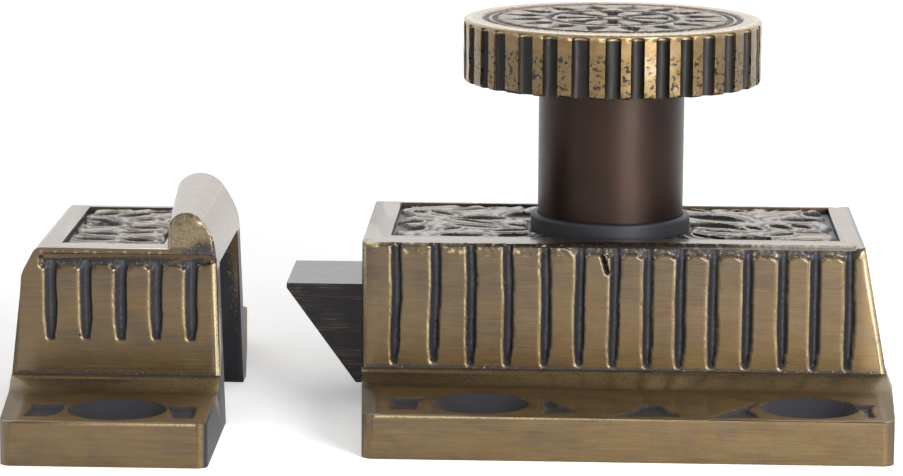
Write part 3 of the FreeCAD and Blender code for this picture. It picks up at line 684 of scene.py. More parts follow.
@dataclass(frozen=True)
class Wall:
    """A casting's long wall with its row of upright chisel cuts and the band over them, in mm.

    Attributes:
        middles: X of the cuts.
        out: distance of the wall from the middle of the casting.
        foot: lower end of the cuts.
        land_top: where the lands between the cuts end.
        band_top: upper edge of the band.
        left, right: ends of the band.
        opens: X at which the band opens from a line to its full width.
        crack: X of the upper and of the lower end of a crack from the top edge, if there is one.
    """

    middles: tuple[float, ...]
    out: float
    foot: float
    land_top: float
    band_top: float
    left: float
    right: float
    opens: float
    crack: tuple[float, float] | None = None
    half: float = 0.62
    deep: float = 0.68
    step: float = 0.17
    low: float = 5.4
    top: float = 18.5
    ledge: float = 0.0             # how far the band runs on over the top's border
    bright: float = 0.6            # how bright the cut rims are marked: wear, with the left rims at full and the others at half as painted highlight
    strip: float = 0.0             # height of the rough strip over the band
    blotch_from: float = 1e3       # X from which the lip's face is blotched dark

    def cut(self, x: float, z: float, side: float) -> tuple[float, float, float]:
        """Depth of the nearest upright cut, which side of it the point is on, and the way to it."""
        middle = min(self.middles, key=lambda place: abs(place - x))
        away = x - middle - 0.14 * wander(middle, z, side * 9, 6.0)
        hand = math.copysign(1.0, away)
        half = self.half * (1 - 0.36 * (1 - smooth(self.foot, self.foot + 2.6, z)))
        half += 0.06 * wander(middle * 3 + hand * 20, z, side * 5, 0.5)
        half += 0.09 * wander(middle * 5 + hand * 7, z, side, 2.6)
        foot = self.foot + 0.28 * wander(middle, 0.5, side * 3, 1.0)
        across = (away + half) / (2 * half)
        share = smooth(-0.04, 0.66, across) * (1 - smooth(0.84, 1.04, across))
        share *= smooth(foot - 0.15, foot + 0.5, z)
        share *= 1 - smooth(self.band_top - 0.15, self.band_top + 0.05, z)
        return self.deep * share, hand, abs(away) - half

    def at(self, x: float, z: float, side: float) -> Carved:
        """What is cut at a point of the wall.

        Args:
            x: place along the wall.
            z: height.
            side: -1 on the front wall, 1 on the back wall.

        Returns:
            The depth and the marks.
        """
        depth, hand, gap = self.cut(x, z, side)
        top = self.band_top + 0.07 * wander(x, 0.3, side * 17, 1.1)
        open_wide = smooth(self.opens - 2.5, self.opens + 3.5, x)
        low = self.land_top - 0.34 * (1 - smooth(0.0, 0.6, gap))
        low += 0.06 * wander(x, 0.7, side * 11, 0.7)
        low = low * open_wide + (top - 0.26) * (1 - open_wide)
        band = smooth(low - 0.05, low + 0.16, z) * (1 - smooth(top - 0.1, top + 0.06, z))
        band *= smooth(self.left, self.left + 0.3, x) * (1 - smooth(self.right - 0.3, self.right, x))
        band *= 0.3 + 0.12 * open_wide
        split = self.split(x, z, side)
        clean = max(depth, band, split)
        rim = smooth(0.005, 0.05, clean) * (1 - smooth(0.1, 0.26, clean))
        if band > depth:
            rim *= 1.0 if z < low + 0.08 else 0.25
        else:
            # The left rims get twice the brightness of the others: painted highlight of light from the
            # right.
            rim *= self.bright * (1.0 if hand < 0 and split < 0.02 else 0.5)
            rim *= 0.25 + 0.75 * smooth(self.foot, self.foot + 0.9, z)
        rough = smooth(self.land_top - 0.5, self.land_top + 0.1, z)
        rough *= 1 - smooth(top + self.strip, top + self.strip + 0.2, z)
        lump = 0.7 * wander(x, z, side * 31, 0.5) + 0.4 * wander(x, z, side * 37, 0.26)
        rim = max(rim, 0.7 * rough * smooth(0.05, 0.4, lump) * (1 - 0.4 * open_wide))
        dark = max(smooth(0.06, 0.3, depth), smooth(0.06, 0.3, split),
                   smooth(0.06, 0.25, band) * (0.56 + 0.3 * lump),
                   rough * 0.5 * smooth(0.12, 0.4, -lump))
        if x > self.blotch_from and z > self.band_top - 0.3:
            fade = smooth(self.blotch_from, self.blotch_from + 3.5, x) * 2.2 + self.band_top - 0.4
            dark = max(dark, (1 - smooth(fade - 0.5, fade + 0.5, z)) * (0.62 + 0.5 * lump))
        grit = 0.05 * wander(x, z, side * 13, 0.3) * smooth(0.3, 0.5, clean)
        return Carved(max(0.0, clean - rough * 0.13 * lump + grit), rim,
                      dark * (1 - 0.8 * rim * rough))

    def ledge_share(self, x: float, away: float, side: float) -> float:
        """How much of the top's border is cut down at a distance in from the wall, 0 to 1."""
        if not self.ledge or side > 0:
            return 0.0
        wide = self.ledge * (0.2 + 0.8 * smooth(self.opens - 2.5, self.opens + 3.5, x))
        wide += 0.22 * wander(x, 0.9, side * 23, 1.0) + 0.1 * wander(x, 0.4, side * 27, 0.4)
        ends = smooth(self.left, self.left + 0.4, x) * (1 - smooth(self.right - 0.4, self.right, x))
        return ends * (1 - smooth(wide - 0.3, wide, away))

    def split(self, x: float, z: float, side: float) -> float:
        """Depth of the crack, on the front wall only."""
        if self.crack is None or side > 0:
            return 0.0
        share = (self.top - z) / 3.0
        if share > 1:
            return 0.0
        middle = self.crack[0] + (self.crack[1] - self.crack[0]) * max(share, 0.0)
        return 0.7 * (1 - smooth(0.08, 0.26, abs(x - middle - 0.04 * wander(x, z, 0.0, 0.5))))

    def fill(self, mesh: bmesh.types.BMesh, centre: float) -> None:
        """Bring the straight cuts of the CAD shape out to the wall, to carve them by hand."""
        for vert in mesh.verts:
            x, y, z = vert.co / MM
            inward = self.out - abs(y - centre)
            inside = self.left - 0.3 < x < self.right + 0.3 and self.foot - 0.4 < z < self.top - 0.1
            if 0.005 < inward < 0.75 and inside:
                vert.co.y = (centre + math.copysign(self.out, y - centre)) * MM
        bmesh.ops.dissolve_degenerate(mesh, dist=0.003 * MM, edges=mesh.edges)

    def scored(self, mesh: bmesh.types.BMesh, centre: float, side: float,
               round_mm: float) -> set[bmesh.types.BMVert]:
        """Score one wall, its rounded top edge and the top's border with a fine net.

        Args:
            mesh: the casting, its walls flat.
            centre: Y of its middle.
            side: -1 for the front wall, 1 for the back wall.
            round_mm: width of the round of the top edge.

        Returns:
            The vertices of the net.
        """
        inner = self.out - self.ledge - 0.5
        if self.ledge:
            tops = level_faces(mesh, self.top, self.left - 2, self.right + 2, centre - self.out,
                               centre + self.out)
            rows = sorted(centre + side * place for place in steps(inner, self.out - 0.7, 0.3))
            score(mesh, tops, 1, rows)

        def chosen(face: bmesh.types.BMFace) -> bool:
            spot = middle_mm(face)
            away = (spot.y - centre) * side
            if not self.left - 2 < spot.x < self.right + 2 or spot.z < self.low:
                return False
            if face.normal.y * side > 0.99:
                return abs(away - self.out) < 0.01
            edge = away > self.out - round_mm - 0.01 and spot.z > self.top - round_mm - 0.01
            return edge or (bool(self.ledge) and away > inner and face.normal.z > 0.99
                            and abs(spot.z - self.top) < 0.01)

        faces = score(mesh, [face for face in mesh.faces if chosen(face)], 0,
                      steps(self.left - 0.2, self.right + 0.2, self.step))
        walls = [face for face in faces if face.normal.y * side > 0.99]
        high = self.top - round_mm
        upper = steps(high, self.top + 2.2, 0.2) if self.blotch_from < self.right else []
        walls = score(mesh, walls, 2, steps(self.low, high, self.step)[:-1] + upper)
        net = {vert for face in (*faces, *walls) if face.is_valid for vert in face.verts}
        bmesh.ops.remove_doubles(mesh, verts=list(net), dist=0.04 * MM)
        return {vert for vert in net if vert.is_valid}

    def carve(self, mesh: bmesh.types.BMesh, centre: float, round_mm: float) -> None:
        """Carve the front wall and the back wall, and cut their top border down."""
        patina = mesh.verts.layers.float[Mark.PATINA_AND_SHADE.value]
        rub = mesh.verts.layers.float[Mark.RUB_AND_HIGHLIGHT.value]
        tarnish = mesh.verts.layers.float[Mark.TARNISH_AND_SHADE.value]
        high = self.top - round_mm
        for side in (-1.0, 1.0):
            for vert in self.scored(mesh, centre, side, round_mm):
                x, y, z = vert.co / MM
                away = self.out - (y - centre) * side
                if away < round_mm - 0.05:
                    carved = self.at(x, z if self.ledge == 0 else min(z, high), side)
                    vert.co.y -= side * carved.depth * MM
                    # The crease at the wall's foot is painted darker in the patina and tarnish marks:
                    # painted shade.
                    foot_crease_shade = 0.6 * (1 - smooth(self.low + 0.35, self.low + 0.8, z))
                    vert[patina] = max(vert[patina], carved.dark, foot_crease_shade)
                    keep = 1 - smooth(0.05, 0.2, carved.depth)
                    lip = 0.28 * (1 - carved.dark) if z > self.top + 0.1 else 0.0
                    vert[rub] = max(vert[rub] * keep, carved.rim, lip)
                    grey = smooth(self.foot + 3.0, self.land_top, z)
                    grey *= 0.5 + 0.3 * wander(x, z, side, 3.0)
                    vert[tarnish] = max(grey, 0.3 * (1 - smooth(self.low, self.low + 1.2, z)))
                if z > high and self.ledge:
                    cut = self.ledge_share(x, away, side)
                    vert.co.z = (high + (z - high) * (1 - 0.85 * cut)) * MM
                    lump = wander(x, y, side * 41, 0.45)
                    open_crack = smooth(0.1, 0.4, self.split(x, z, side)) * (away < 1.3)
                    vert[patina] = max(vert[patina], cut * (0.56 - 0.3 * lump), open_crack)
                    vert[rub] = max(vert[rub] * (1 - cut), 0.3 * smooth(0.02, 0.2, cut)
                                    * (1 - smooth(0.3, 0.7, cut)))
                    vert[tarnish] = 0.6 * smooth(self.opens - 8, self.opens, x)


@dataclass(frozen=True)
class Field:
    """The sunk ornament field on top of a casting, carved with leaf strokes, in mm."""

    left: float
    right: float
    front: float
    back: float
    floor: float
    strokes: tuple[Stroke, ...]
    relief: float = 0.5
    step: float = 0.19
    line: float = 1.5              # spacing of the fine lines between the cuts
    ring_x: float = 0.0            # middle and radius of the collar that stands in the field
    ring: float = 0.0
    notch: float = 1.5             # reach of the pointed notches at the two ends

    def height(self, x: float, y: float) -> float:
        """Height of the carving over the field's floor: leaves with fine lines along the cuts."""
        tooth = abs((y - self.front) / 3.4 % 2 - 1) * self.notch
        inset = min(x - self.left - tooth, self.right - x - tooth * 0.8,
                    y - self.front, self.back - y)
        rise = smooth(0.08, 0.4, inset)
        if self.ring:
            rise *= smooth(self.ring + 0.1, self.ring + 0.8, math.hypot(x - self.ring_x, y))
        if rise <= 0:
            return 0.0
        nearest = 1e9
        for stroke in self.strokes:
            gap = stroke.gap(x, y)
            nearest = min(nearest, gap)
            rise *= 1 - stroke.depth(gap)
            if rise <= 0.001:
                return 0.0
        line = math.cos((nearest + 0.25 * wander(x * 0.4, y, 3.0, 1.5)) / self.line * math.tau)
        return self.relief * rise * (0.78 + 0.22 * line)

    def carve(self, mesh: bmesh.types.BMesh, centre: float) -> None:
        """Raise the leaves from the field's floor and mark what stays low as dark.

        Args:
            mesh: the casting.
            centre: Y of the middle of the casting, in mm.
        """
        faces = level_faces(mesh, self.floor, self.left, self.right, self.front + centre,
                            self.back + centre)
        faces = score(mesh, faces, 0, steps(self.left, self.right, self.step)[1:-1])
        faces = score(mesh, faces, 1,
                      steps(self.front + centre, self.back + centre, self.step)[1:-1])
        patina = mesh.verts.layers.float[Mark.PATINA_AND_SHADE.value]
        tarnish = mesh.verts.layers.float[Mark.TARNISH_AND_SHADE.value]
        for vert in {vert for face in faces for vert in face.verts}:
            x, y, z = vert.co / MM
            up = self.height(x, y - centre)
            vert.co.z += up * MM
            vert[patina] = 1 - smooth(self.relief * 0.4, self.relief * 0.95, up)
            vert[tarnish] = 1.0


@dataclass
class Casting(WorkedPiece):
    """A flanged brass casting with grooves, bands, sunk patches and a carved field.

    Attributes:
        centre: Y of its middle, in mm.
        flange: height of the flange tops, in mm.
        shaded_from: X from which everything is painted dark: painted shade on the strike's end that
            faces the latch.
        toe_from, toe: X from which the flanges' ends are moved out, and how far.
        wall: its carved long walls.
        leaves: the carved field on top.
        pits: sunk patches of the front flange top; the back flange mirrors them.
    """

    centre: float = 0.0
    flange: float = 4.4
    half_depth: float = 30.15
    pit_deep: float = 0.35
    edge_width: float = 0.35
    shaded_from: float = 1e3
    toe_from: float = 1e3
    toe: float = 0.0
    wall: Wall | None = None
    leaves: Field | None = None
    pits: tuple[Pit, ...] = ()

    def sink_patches(self, mesh: bmesh.types.BMesh) -> None:
        """Cut the ragged patches into both flange tops."""
        patina = mesh.verts.layers.float[Mark.PATINA_AND_SHADE.value]
        score(mesh, level_faces(mesh, self.flange, -1e3, 1e3, -1e3, 1e3), 1, (self.centre,))
        for side in (-1.0, 1.0):
            near_mm, far_mm = sorted((self.centre + side * self.wall.out,
                                      self.centre + side * self.half_depth))
            faces = level_faces(mesh, self.flange, -1e3, 1e3, near_mm, far_mm)
            across = sorted({place for pit in self.pits for place in steps(*pit.span(0), 0.22)})
            along = steps(21.0, 29.4, 0.25)
            along = sorted(self.centre + side * place for place in along)
            faces = score(mesh, faces, 0, across)
            faces = score(mesh, faces, 1, along)
            for vert in {vert for face in faces if face.is_valid for vert in face.verts}:
                x, y, z = vert.co / MM
                away = abs(y - self.centre)
                if z < self.flange - 0.01 or not 21.0 < away < 29.5:
                    continue
                deep = max(pit.depth(x, away) for pit in self.pits)
                vert.co.z -= deep * self.pit_deep * MM
                vert[patina] = max(vert[patina], smooth(0.2, 0.6, deep))

    def is_sink(self, face: bmesh.types.BMFace) -> bool:
        """Whether a face is part of the slope of a screw sink."""
        spot = middle_mm(face)
        away = abs(spot.y - self.centre)
        return 17.5 < away < self.half_depth - 1 and 0.3 < face.normal.z < 0.9 and spot.z > 1

    def shade(self, mesh: bmesh.types.BMesh) -> None:
        """Mark the screw sinks, the inside, the collar and the strike's pocket as dark, paint the
        strike's end that faces the latch dark as shade, and paint the coves lighter near the wall as
        painted light, duller further out.
        """
        patina = mesh.verts.layers.float[Mark.PATINA_AND_SHADE.value]
        rub = mesh.verts.layers.float[Mark.RUB_AND_HIGHLIGHT.value]
        dull = mesh.verts.layers.float[Mark.DULL.value]
        ring = self.leaves.ring + 0.2
        for vert in mesh.verts:
            x, y, z = vert.co / MM
            away = abs(y - self.centre)
            # Near the wall the coves are painted lighter through the rub mark: painted light. Further
            # out they get duller lacquer.
            if self.wall.out + 0.05 < away < self.half_depth - 0.5 and z < self.wall.low:
                vert[dull] = smooth(14.0, 18.0, away)
                vert[rub] = 0.4 * (1 - smooth(14.0, 18.0, away))
            if away > 17.5 and 0.2 < z < self.flange - 0.12 and away < self.half_depth - 1.2:
                vert[patina] = 1.0
            # Past a given X the strike's end that faces the latch is painted dark: painted shade.
            elif away < 10.6 and z < 14.7 or x > self.shaded_from:
                vert[patina] = 1.0
            elif self.leaves.ring and math.hypot(x - self.leaves.ring_x, y) < ring and z > 18.55:
                vert[patina] = 0.97
                vert[dull] = 1.0
            elif x > self.toe_from and away < 12.9 and z < 16.5:
                vert[patina] = 1.0

    def build(self, frame: dict, material: bpy.types.Material) -> bpy.types.Object:
        """Work up the casting.

        Args:
            material: its brass.

        Returns:
            The piece.
        """
        mesh = self.lift(frame)
        self.wall.fill(mesh, self.centre)
        self.spread_toe(mesh)
        self.clear(mesh)
        self.round_edges(mesh)
        self.wall.carve(mesh, self.centre, self.edge_width)
        self.leaves.carve(mesh, self.centre)
        self.sink_patches(mesh)
        end = [face for face in mesh.faces
               if max(vert.co.x for vert in face.verts) > (self.shaded_from - 0.3) * MM]
        score(mesh, end, 0, [self.shaded_from - 0.3, self.shaded_from - 0.02])
        score(mesh, [face for face in mesh.faces if self.is_sink(face)], 2,
              [self.flange - 0.3, self.flange - 0.14])
        self.shade(mesh)
        return self.store(mesh, material)

    def spread_toe(self, mesh: bmesh.types.BMesh) -> None:
        """Widen the drawn-in right end of the front flange a little, as hand filing left it."""
        for vert in mesh.verts:
            x, y, z = vert.co / MM
            share = (self.centre - y - 17.5) / (self.half_depth - 17.5)
            if share > 0 and x > self.toe_from:
                vert.co.x += self.toe * share * smooth(self.toe_from, self.toe_from + 1.5, x) * MM

    def round_edges(self, mesh: bmesh.types.BMesh) -> None:
        """Round the outer edges that the polishing wheel reached."""
        wall = self.wall.out

        def outer(edge: bmesh.types.BMEdge, spot: Vector) -> bool:
            away = abs(spot.y - self.centre)
            if spot.z < 0.05 or edge.calc_length() < 0.8 * MM:
                return False
            on_flange = abs(spot.z - self.flange) < 0.02 and away > self.half_depth - 0.02
            on_top = spot.z > self.leaves.floor + 0.5 and away > wall - 0.02
            return on_flange or on_top

        def end_corner(edge: bmesh.types.BMEdge, spot: Vector) -> bool:
            return (abs(abs(spot.y - self.centre) - wall) < 0.02 and 7 < spot.z < 17
                    and edge.calc_length() > 5 * MM)

        # The upright corners at the ends get a wide round whose crown is painted as highlight.
        round_off(mesh, outward_edges(mesh, 40, end_corner), self.edge_width * 1.6, 3, 0.5)
        round_off(mesh, outward_edges(mesh, 40, outer), self.edge_width)


LATCH_LEAVES = (
    Stroke(-25.2, 10.6, -18.5, 13.0, 0.66), Stroke(-16.1, 11.6, -13.9, 13.2, 0.74),
    Stroke(-24.4, 7.8, -23.0, 7.0, 0.74), Stroke(-22.5, 8.2, -20.0, 5.3, 0.59),
    Stroke(-20.4, 8.3, -16.6, 10.3, 0.59), Stroke(-19.6, 3.7, -14.4, 3.6, 1.18, 0.3),
    Stroke(-14.3, 4.4, -10.9, 7.6, 1.92), Stroke(-25.4, 0.2, -23.2, 1.7, 0.88),
    Stroke(-20.4, 3.0, -15.5, 0.7, 0.44), Stroke(-20.0, -0.3, -15.2, -2.4, 0.52),
    Stroke(-25.2, -4.8, -22.9, -1.9, 1.03), Stroke(-20.9, -3.6, -19.1, -1.8, 0.66),
    Stroke(-21.0, -7.1, -16.5, -6.4, 1.03), Stroke(-18.9, -1.3, -16.3, -1.2, 0.37, 0.0, 0.6),
    Stroke(-15.1, -7.5, -11.7, -5.7, 1.03), Stroke(-14.2, 0.1, -11.6, -1.5, 0.59),
    Stroke(-15.7, -4.1, -11.1, -2.8, 0.59, 0.0, 0.7), Stroke(4.4, 11.5, 6.9, 9.3, 0.59),
    Stroke(4.9, 12.5, 8.8, 12.6, 0.29, 0.0, 0.6), Stroke(4.4, 7.2, 10.9, 3.8, 1.62),
    Stroke(4.7, 1.6, 10.1, -0.0, 1.62), Stroke(9.7, 10.4, 10.9, 10.9, 0.74),
    Stroke(14.2, 10.7, 16.8, 11.6, 0.59), Stroke(14.6, 5.1, 18.8, 5.3, 1.33),
    Stroke(17.4, 9.7, 20.1, 7.6, 1.47), Stroke(8.9, 0.3, 10.7, -1.9, 0.59),
    Stroke(10.8, 0.8, 12.4, -1.4, 0.66), Stroke(13.4, 2.0, 15.5, -1.0, 0.88),
    Stroke(15.7, 2.3, 17.5, -0.2, 0.88), Stroke(5.1, -4.2, 8.5, -7.8, 0.52, -0.4),
    Stroke(6.4, -2.4, 9.9, -3.0, 0.44), Stroke(6.7, -5.4, 8.9, -8.3, 0.44),
    Stroke(8.6, -8.3, 10.3, -5.6, 1.03), Stroke(10.6, -7.9, 12.9, -5.9, 1.47),
    Stroke(12.9, -4.8, 15.5, -3.3, 0.74), Stroke(15.7, -3.0, 19.1, -2.8, 0.44),
    Stroke(13.9, -7.6, 18.7, -7.4, 0.37), Stroke(-11.4, 8.4, -7.6, 11.2, 0.9),
    Stroke(-7.6, 9.6, -3.9, 11.4, 0.6), Stroke(0.6, 9.6, -3.1, 11.4, 0.6),
)
STRIKE_LEAVES = (
    Stroke(-58.2, 8.2, -55.4, 8.8, 0.8), Stroke(-57.6, 2.4, -54.3, 2.0, 1.5, 0.2),
    Stroke(-55.6, 7.0, -52.2, 9.0, 0.8), Stroke(-53.6, 0.4, -50.2, 0.0, 0.8),
    Stroke(-53.2, 4.9, -51.4, 5.3, 0.7), Stroke(-58.2, -3.2, -54.0, -3.9, 0.7),
    Stroke(-58.2, -6.6, -54.0, -7.2, 0.8), Stroke(-53.4, -6.6, -50.0, -7.4, 0.9),
    Stroke(-54.0, -3.0, -50.6, -2.4, 0.6), Stroke(-52.6, 9.6, -50.0, 10.4, 0.7),
    Stroke(-58.3, 5.0, -55.6, 4.2, 0.7), Stroke(-53.4, -8.9, -50.0, -9.2, 0.5),
)
LATCH_CUTS = (-25.38, -21.39, -17.69, -13.89, -10.1, -6.61, -3.11, 0.32, 3.55, 6.87, 10.3, 13.91,
              17.14, 20.66)
STRIKE_CUTS = (-59.87, -56.33, -52.79, -49.25, -45.71)
LATCH_PITS = (
    Pit(((-25.2, 21.7), (-21.4, 21.6), (-22.4, 23.2), (-22.4, 27.2), (-25.2, 27.6))),
    Pit(((-10.2, 22.0), (-9.6, 21.8), (-6.5, 27.6), (-10.4, 28.6), (-9.9, 25.5))),
    Pit(((-3.2, 29.0), (-1.6, 26.6), (-0.6, 24.2), (0.4, 23.1), (1.6, 23.6), (2.2, 26.2),
         (3.4, 27.6), (3.6, 29.0))),
    Pit(((6.0, 29.0), (8.6, 25.8), (11.0, 21.8), (11.7, 21.4), (10.3, 25.0), (11.2, 28.8))),
    Pit(((19.9, 21.9), (22.8, 22.4), (22.3, 25.0), (22.6, 28.0), (21.6, 28.2), (21.4, 25.0))),
)
STRIKE_PITS = (
    Pit(((-60.4, 22.0), (-57.2, 21.6), (-56.9, 24.6), (-57.8, 27.4), (-60.6, 27.8))),
    Pit(((-47.2, 21.6), (-44.0, 22.2), (-44.0, 27.6), (-46.0, 28.0), (-46.6, 24.6))),
)


def latch_case() -> Casting:
    """The housing of the latch."""
    return Casting(
        "latch_case", "case_casting", Body.HOUSING, Slot.BRASS,
        wall=Wall(LATCH_CUTS, 13.1, 5.85, 17.55, 18.9, -27.2, 21.6, -8.6, (-4.6, -3.7), ledge=1.9),
        leaves=Field(-26.0, 20.0, -8.6, 11.9, 17.9, LATCH_LEAVES, ring_x=-3.5, ring=8.3),
        pits=LATCH_PITS)


def strike_plate() -> Casting:
    """The strike, a smaller casting of the same pattern."""
    return Casting(
        "strike", "strike_casting", Body.HOUSING, Slot.BRASS, centre=-5.2, shaded_from=-42.7,
        toe_from=-46.6, toe=1.5,
        wall=Wall(STRIKE_CUTS, 13.1, 8.95, 16.7, 17.6, -61.0, -43.9, -70.0, half=0.76, bright=0.3,
                  strip=0.6, blotch_from=-48.0),
        leaves=Field(-59.0, -48.6, -10.2, 11.9, 17.9, STRIKE_LEAVES, notch=0.5),
        pits=STRIKE_PITS)


@dataclass
class KnobHead(WorkedPiece):
    """The fluted head of the knob with its carved top, in mm.

    Attributes:
        flute_turn: degrees between even flutes.
        cut_at: where the hand-cut flutes of the front are, in degrees from the front.
        axis_x: X of the turning axis.
        radius: over the lands of the rim.
        top: height of the top face.
    """

    node: str = "knob_head"
    piece: str = "knob_head_carved"
    body: Body = Body.KNOB
    slot: Slot = Slot.BRASS
    axis_x: float = -3.5
    radius: float = 15.45
    top: float = 40.2
    flute_turn: float = 11.25
    cut_at: tuple[float, ...] = (-69.7, -57.5, -48.6, -34.4, -24.5, -12.3, 0.5, 9.0, 18.9, 28.6,
                                 38.5, 50.1, 62.6, 75.6)
    spread: float = 0.12           # how much wider the hand-cut flutes are
    rough_rim: float = 0.12
    star_points: int = 16
    carve_deep: float = 0.4
    step: float = 0.2

    def carving(self, x: float, y: float) -> float:
        """How deep the top is carved at a point beside the axis, from 0 to 1."""
        away = math.hypot(x, y)
        angle = math.atan2(y, x)
        ring = smooth(11.9, 12.15, away) * (1 - smooth(13.3, 13.6, away))
        ring -= 0.9 * smooth(12.5, 12.65, away) * (1 - smooth(12.8, 12.95, away))
        inner = smooth(6.2, 6.4, away) * (1 - smooth(6.75, 6.95, away))
        hub = smooth(1.1, 1.3, away) * (1 - smooth(1.55, 1.75, away))
        point = abs((angle / math.tau * self.star_points) % 1 - 0.5) * 2
        reach = (away - 7.4) / 4.4
        star = 0.0
        if 0 < reach < 1:
            edge = 0.92 * (1 - reach) if reach > 0.25 else 0.69 * reach / 0.25
            star = 1 - smooth(edge - 0.16, edge + 0.04, point)
        petal = abs((angle / math.tau * 8) % 1 - 0.5) * 2
        share = (away - 2.0) / 3.8
        rosette = 0.0
        if 0 < share < 1:
            rosette = smooth(0.62, 0.78, petal + 0.5 * abs(share - 0.5))
        return max(ring, inner, hub, star, rosette)

    def stray(self, degrees: float) -> float:
        """How far the flutes near an angle are off their even places, in degrees."""
        first = -6 * self.flute_turn
        known = [(first - 3 * self.flute_turn, 0.0)]
        known += [(first + k * self.flute_turn, place - first - k * self.flute_turn)
                  for k, place in enumerate(self.cut_at)]
        known.append((known[-1][0] + 4 * self.flute_turn, 0.0))
        aside = (degrees + self.flute_turn / 2) % self.flute_turn - self.flute_turn / 2
        wide = self.spread * abs(aside) if abs(aside) < 2.9 else (
            2.9 * self.spread * (self.flute_turn / 2 - abs(aside)) / (self.flute_turn / 2 - 2.9))
        degrees_off = math.copysign(wide, aside)
        for (low, off_low), (high, off_high) in zip(known, known[1:]):
            if low <= degrees < high:
                share = (degrees - low) / (high - low)
                return degrees_off + off_low + (off_high - off_low) * share
        return degrees_off

    def shift_flutes(self, mesh: bmesh.types.BMesh) -> None:
        """Move the even flutes to where the hand put them."""
        for vert in mesh.verts:
            x, y = vert.co.x / MM - self.axis_x, vert.co.y / MM
            away = math.hypot(x, y)
            if away > 12:
                angle = math.atan2(x, -y)
                angle += math.radians(self.stray(math.degrees(angle)))
                z = vert.co.z / MM
                lift = 0.55 * smooth(-2.7, -1.2, z - self.top) * (1 - smooth(-1.2, 0.0, z - self.top))
                away += self.rough_rim * wander(x, y, z, 0.8) * (z < self.top - 0.5) * (away < 15.4)
                vert.co = Vector((self.axis_x + away * math.sin(angle), -away * math.cos(angle),
                                  z + lift)) * MM

    def build(self, frame: dict, material: bpy.types.Material) -> bpy.types.Object:
        """Work up the head.

        Args:
            material: its brass.

        Returns:
            The piece.
        """
        mesh = self.lift(frame)
        self.shift_flutes(mesh)
        patina = mesh.verts.layers.float[Mark.PATINA_AND_SHADE.value]
        rub = mesh.verts.layers.float[Mark.RUB_AND_HIGHLIGHT.value]
        pitted = mesh.verts.layers.float[Mark.TARNISH_AND_SHADE.value]
        reach = self.radius
        faces = level_faces(mesh, self.top, -1e3, 1e3, -reach, reach)
        faces = score(mesh, faces, 0, steps(self.axis_x - reach, self.axis_x + reach, self.step))
        faces = score(mesh, faces, 1, steps(-reach, reach, self.step))
        for vert in {vert for face in faces if face.is_valid for vert in face.verts}:
            x, y, _ = vert.co / MM
            away = math.hypot(x - self.axis_x, y)
            deep = self.carving(x - self.axis_x, y)
            vert.co.z -= deep * self.carve_deep * (0.9 + 0.2 * wander(x, y, 0.0, 1.0)) * MM
            blotch = 0.5 + 0.2 * wander(x, y * 0.6, 5.0, 1.0) if away < 12 else 0.0
            vert[patina] = max(smooth(0.1, 0.6, deep), blotch)
        rims = [face for face in mesh.faces if abs(face.normal.z) < 0.5]
        score(mesh, rims, 2, steps(34.0, 39.9, 0.45))
        for vert in mesh.verts:
            x, y, z = vert.co / MM
            away = math.hypot(x - self.axis_x, y)
            if away > 13.0:
                pitted_here = 1 - smooth(self.top - 2.6, self.top - 1.6, z)
                vert[pitted] = pitted_here
            if away > 14.0 and z < self.top - 0.6:
                sunk = self.radius - away
                vert[patina] = max(vert[patina], smooth(0.12, 0.3, sunk))
                sway = 1 + 0.004 * wander(x, y, z, 1.2)
                vert.co.x = (self.axis_x + (x - self.axis_x) * sway) * MM
                vert.co.y = y * sway * MM
            if away > 14.6 and z > self.top - 0.6:
                vert[rub] = 0.35
        return self.store(mesh, material)


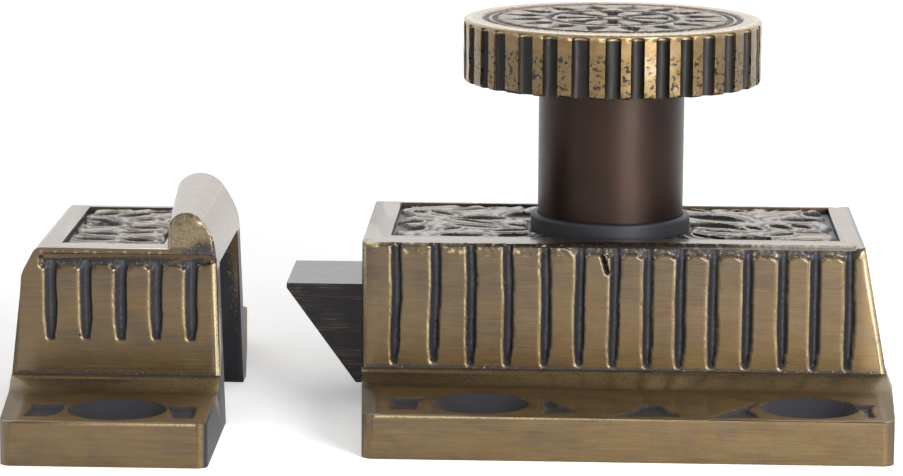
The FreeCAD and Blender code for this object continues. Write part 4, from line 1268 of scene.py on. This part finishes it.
@dataclass
class Studio:
    """Floor, lamps, world and camera. Lengths in mm, turns in radians."""

    eye: tuple[float, float, float] = (-6.333, -392.539, 85.431)
    pitch: float = 0.173
    roll: float = 0.007
    yaw: float = 0.035
    lens: float = 151.5
    sensor: float = 36.0
    floor_half: float = 6000.0

    def lay_floor(self, material: bpy.types.Material) -> None:
        """One wide sheet of paper under the object."""
        mesh = bmesh.new()
        bmesh.ops.create_grid(mesh, x_segments=8, y_segments=8, size=self.floor_half * MM,
                              matrix=Matrix.Translation((0, 0, -0.02 * MM)))
        data = bpy.data.meshes.new("paper")
        mesh.to_mesh(data)
        mesh.free()
        data.materials.append(material)
        floor = bpy.data.objects.new("paper", data)
        bpy.context.scene.collection.objects.link(floor)

    def light_world(self, ambient: float = 0.5) -> None:
        """White behind the object for the eye and in reflections, an even soft light for the rest."""
        world = bpy.data.worlds.new("studio_air")
        bpy.context.scene.world = world
        world.use_nodes = True
        tree = world.node_tree
        tree.nodes.clear()
        way = add_node(tree, "TexCoord").outputs["Generated"]
        parts = add_node(tree, "SeparateXYZ", None, {0: way})
        behind = add_node(tree, "MapRange", {1: -0.35, 2: 0.75, 3: 0.4, 4: 1.15},
                          {0: parts.outputs[1]}).outputs[0]
        path = add_node(tree, "LightPath")
        glossy = add_node(tree, "Mix", {"data_type": "FLOAT", 2: ambient},
                          {0: path.outputs["Is Glossy Ray"], 3: behind}).outputs[0]
        seen = add_node(tree, "Mix", {"data_type": "FLOAT", 3: 1.0},
                        {0: path.outputs["Is Camera Ray"], 2: glossy}).outputs[0]
        sky = add_node(tree, "Background", {"Color": (1.0, 1.0, 1.0, 1.0)}, {"Strength": seen})
        add_node(tree, "OutputWorld", None, {"Surface": sky.outputs[0]})

    def hang_lamp(self, name: str, place: Vector, size: float, power: float) -> None:
        """A soft square lamp that looks at the latch."""
        data = bpy.data.lights.new(name, "AREA")
        data.shape = "SQUARE"
        data.size = size * MM
        data.energy = power
        lamp = bpy.data.objects.new(name, data)
        lamp.location = place * MM
        aim = Vector((-10.0, 0.0, 15.0)) - place
        lamp.rotation_euler = aim.to_track_quat("-Z", "Y").to_euler()
        bpy.context.scene.collection.objects.link(lamp)

    def set_camera(self) -> None:
        """Place the camera as the photograph was taken."""
        right = Vector((1, 0, 0))
        forward = Vector((0, math.cos(self.pitch), -math.sin(self.pitch)))
        up = Vector((0, math.sin(self.pitch), math.cos(self.pitch)))
        turn = Matrix.Rotation(self.yaw, 3, "Z")
        right, forward, up = turn @ right, turn @ forward, turn @ up
        tilted_right = math.cos(self.roll) * right + math.sin(self.roll) * up
        tilted_up = -math.sin(self.roll) * right + math.cos(self.roll) * up
        data = bpy.data.cameras.new("camera")
        data.lens = self.lens
        data.sensor_width = self.sensor
        data.sensor_fit = "HORIZONTAL"
        data.clip_start = 0.01
        data.clip_end = 50.0
        camera = bpy.data.objects.new("camera", data)
        axes = Matrix((tilted_right, tilted_up, -forward)).transposed().to_4x4()
        camera.matrix_world = Matrix.Translation(Vector(self.eye) * MM) @ axes
        bpy.context.scene.collection.objects.link(camera)
        bpy.context.scene.camera = camera

    def build(self) -> None:
        """Set up the whole studio."""
        self.lay_floor(PaperFloor().build())
        self.light_world()
        self.hang_lamp("key_lamp", Vector((120.0, -215.0, 75.0)), 110.0, 0.55)
        self.hang_lamp("fill_lamp", Vector((-260.0, -380.0, 420.0)), 420.0, 0.35)
        self.hang_lamp("back_lamp", Vector((60.0, 480.0, 520.0)), 480.0, 1.4)
        self.set_camera()
        bpy.context.scene.view_settings.view_transform = "Standard"


def dress(frame: dict, finishes: dict[Slot, bpy.types.Material]) -> None:
    """Give each CAD node that stays its finish by its record slot."""
    for row in frame["record"]["subparts"]:
        thing = frame["nodes"][row["node"]]
        thing.data.materials.clear()
        thing.data.materials.append(finishes[Slot(row["material_slot"])])
        log.info("%s dressed as %s", row["node"], row["material_slot"])


def main() -> None:
    """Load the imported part, work up its pieces, dress them and set up the studio."""
    logging.basicConfig(level=logging.INFO, format="%(name)s: %(message)s")
    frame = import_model()
    brass = AntiqueBrass().build()
    turned = AntiqueBrass(name="antique_brass_pitted", brass="866C42", tarnish="7A6238",
                          patina="1B1613", brush_long_mm=2.0, brush_fine_mm=0.5, crumb_mm=0.3,
                          pitting=0.95).build()
    finishes = {Slot.BRASS: brass, Slot.BRONZE: DarkBronze().build(),
                Slot.BLACK: BlackenedMetal().build(), Slot.STEEL: PlainSteel().build()}
    dress(frame, finishes)
    latch_case().build(frame, brass)
    strike_plate().build(frame, brass)
    KnobHead().build(frame, turned)
    SpringCoil().build(frame, finishes[Slot.STEEL])
    Studio().build()


if __name__ == "__main__":
    main()
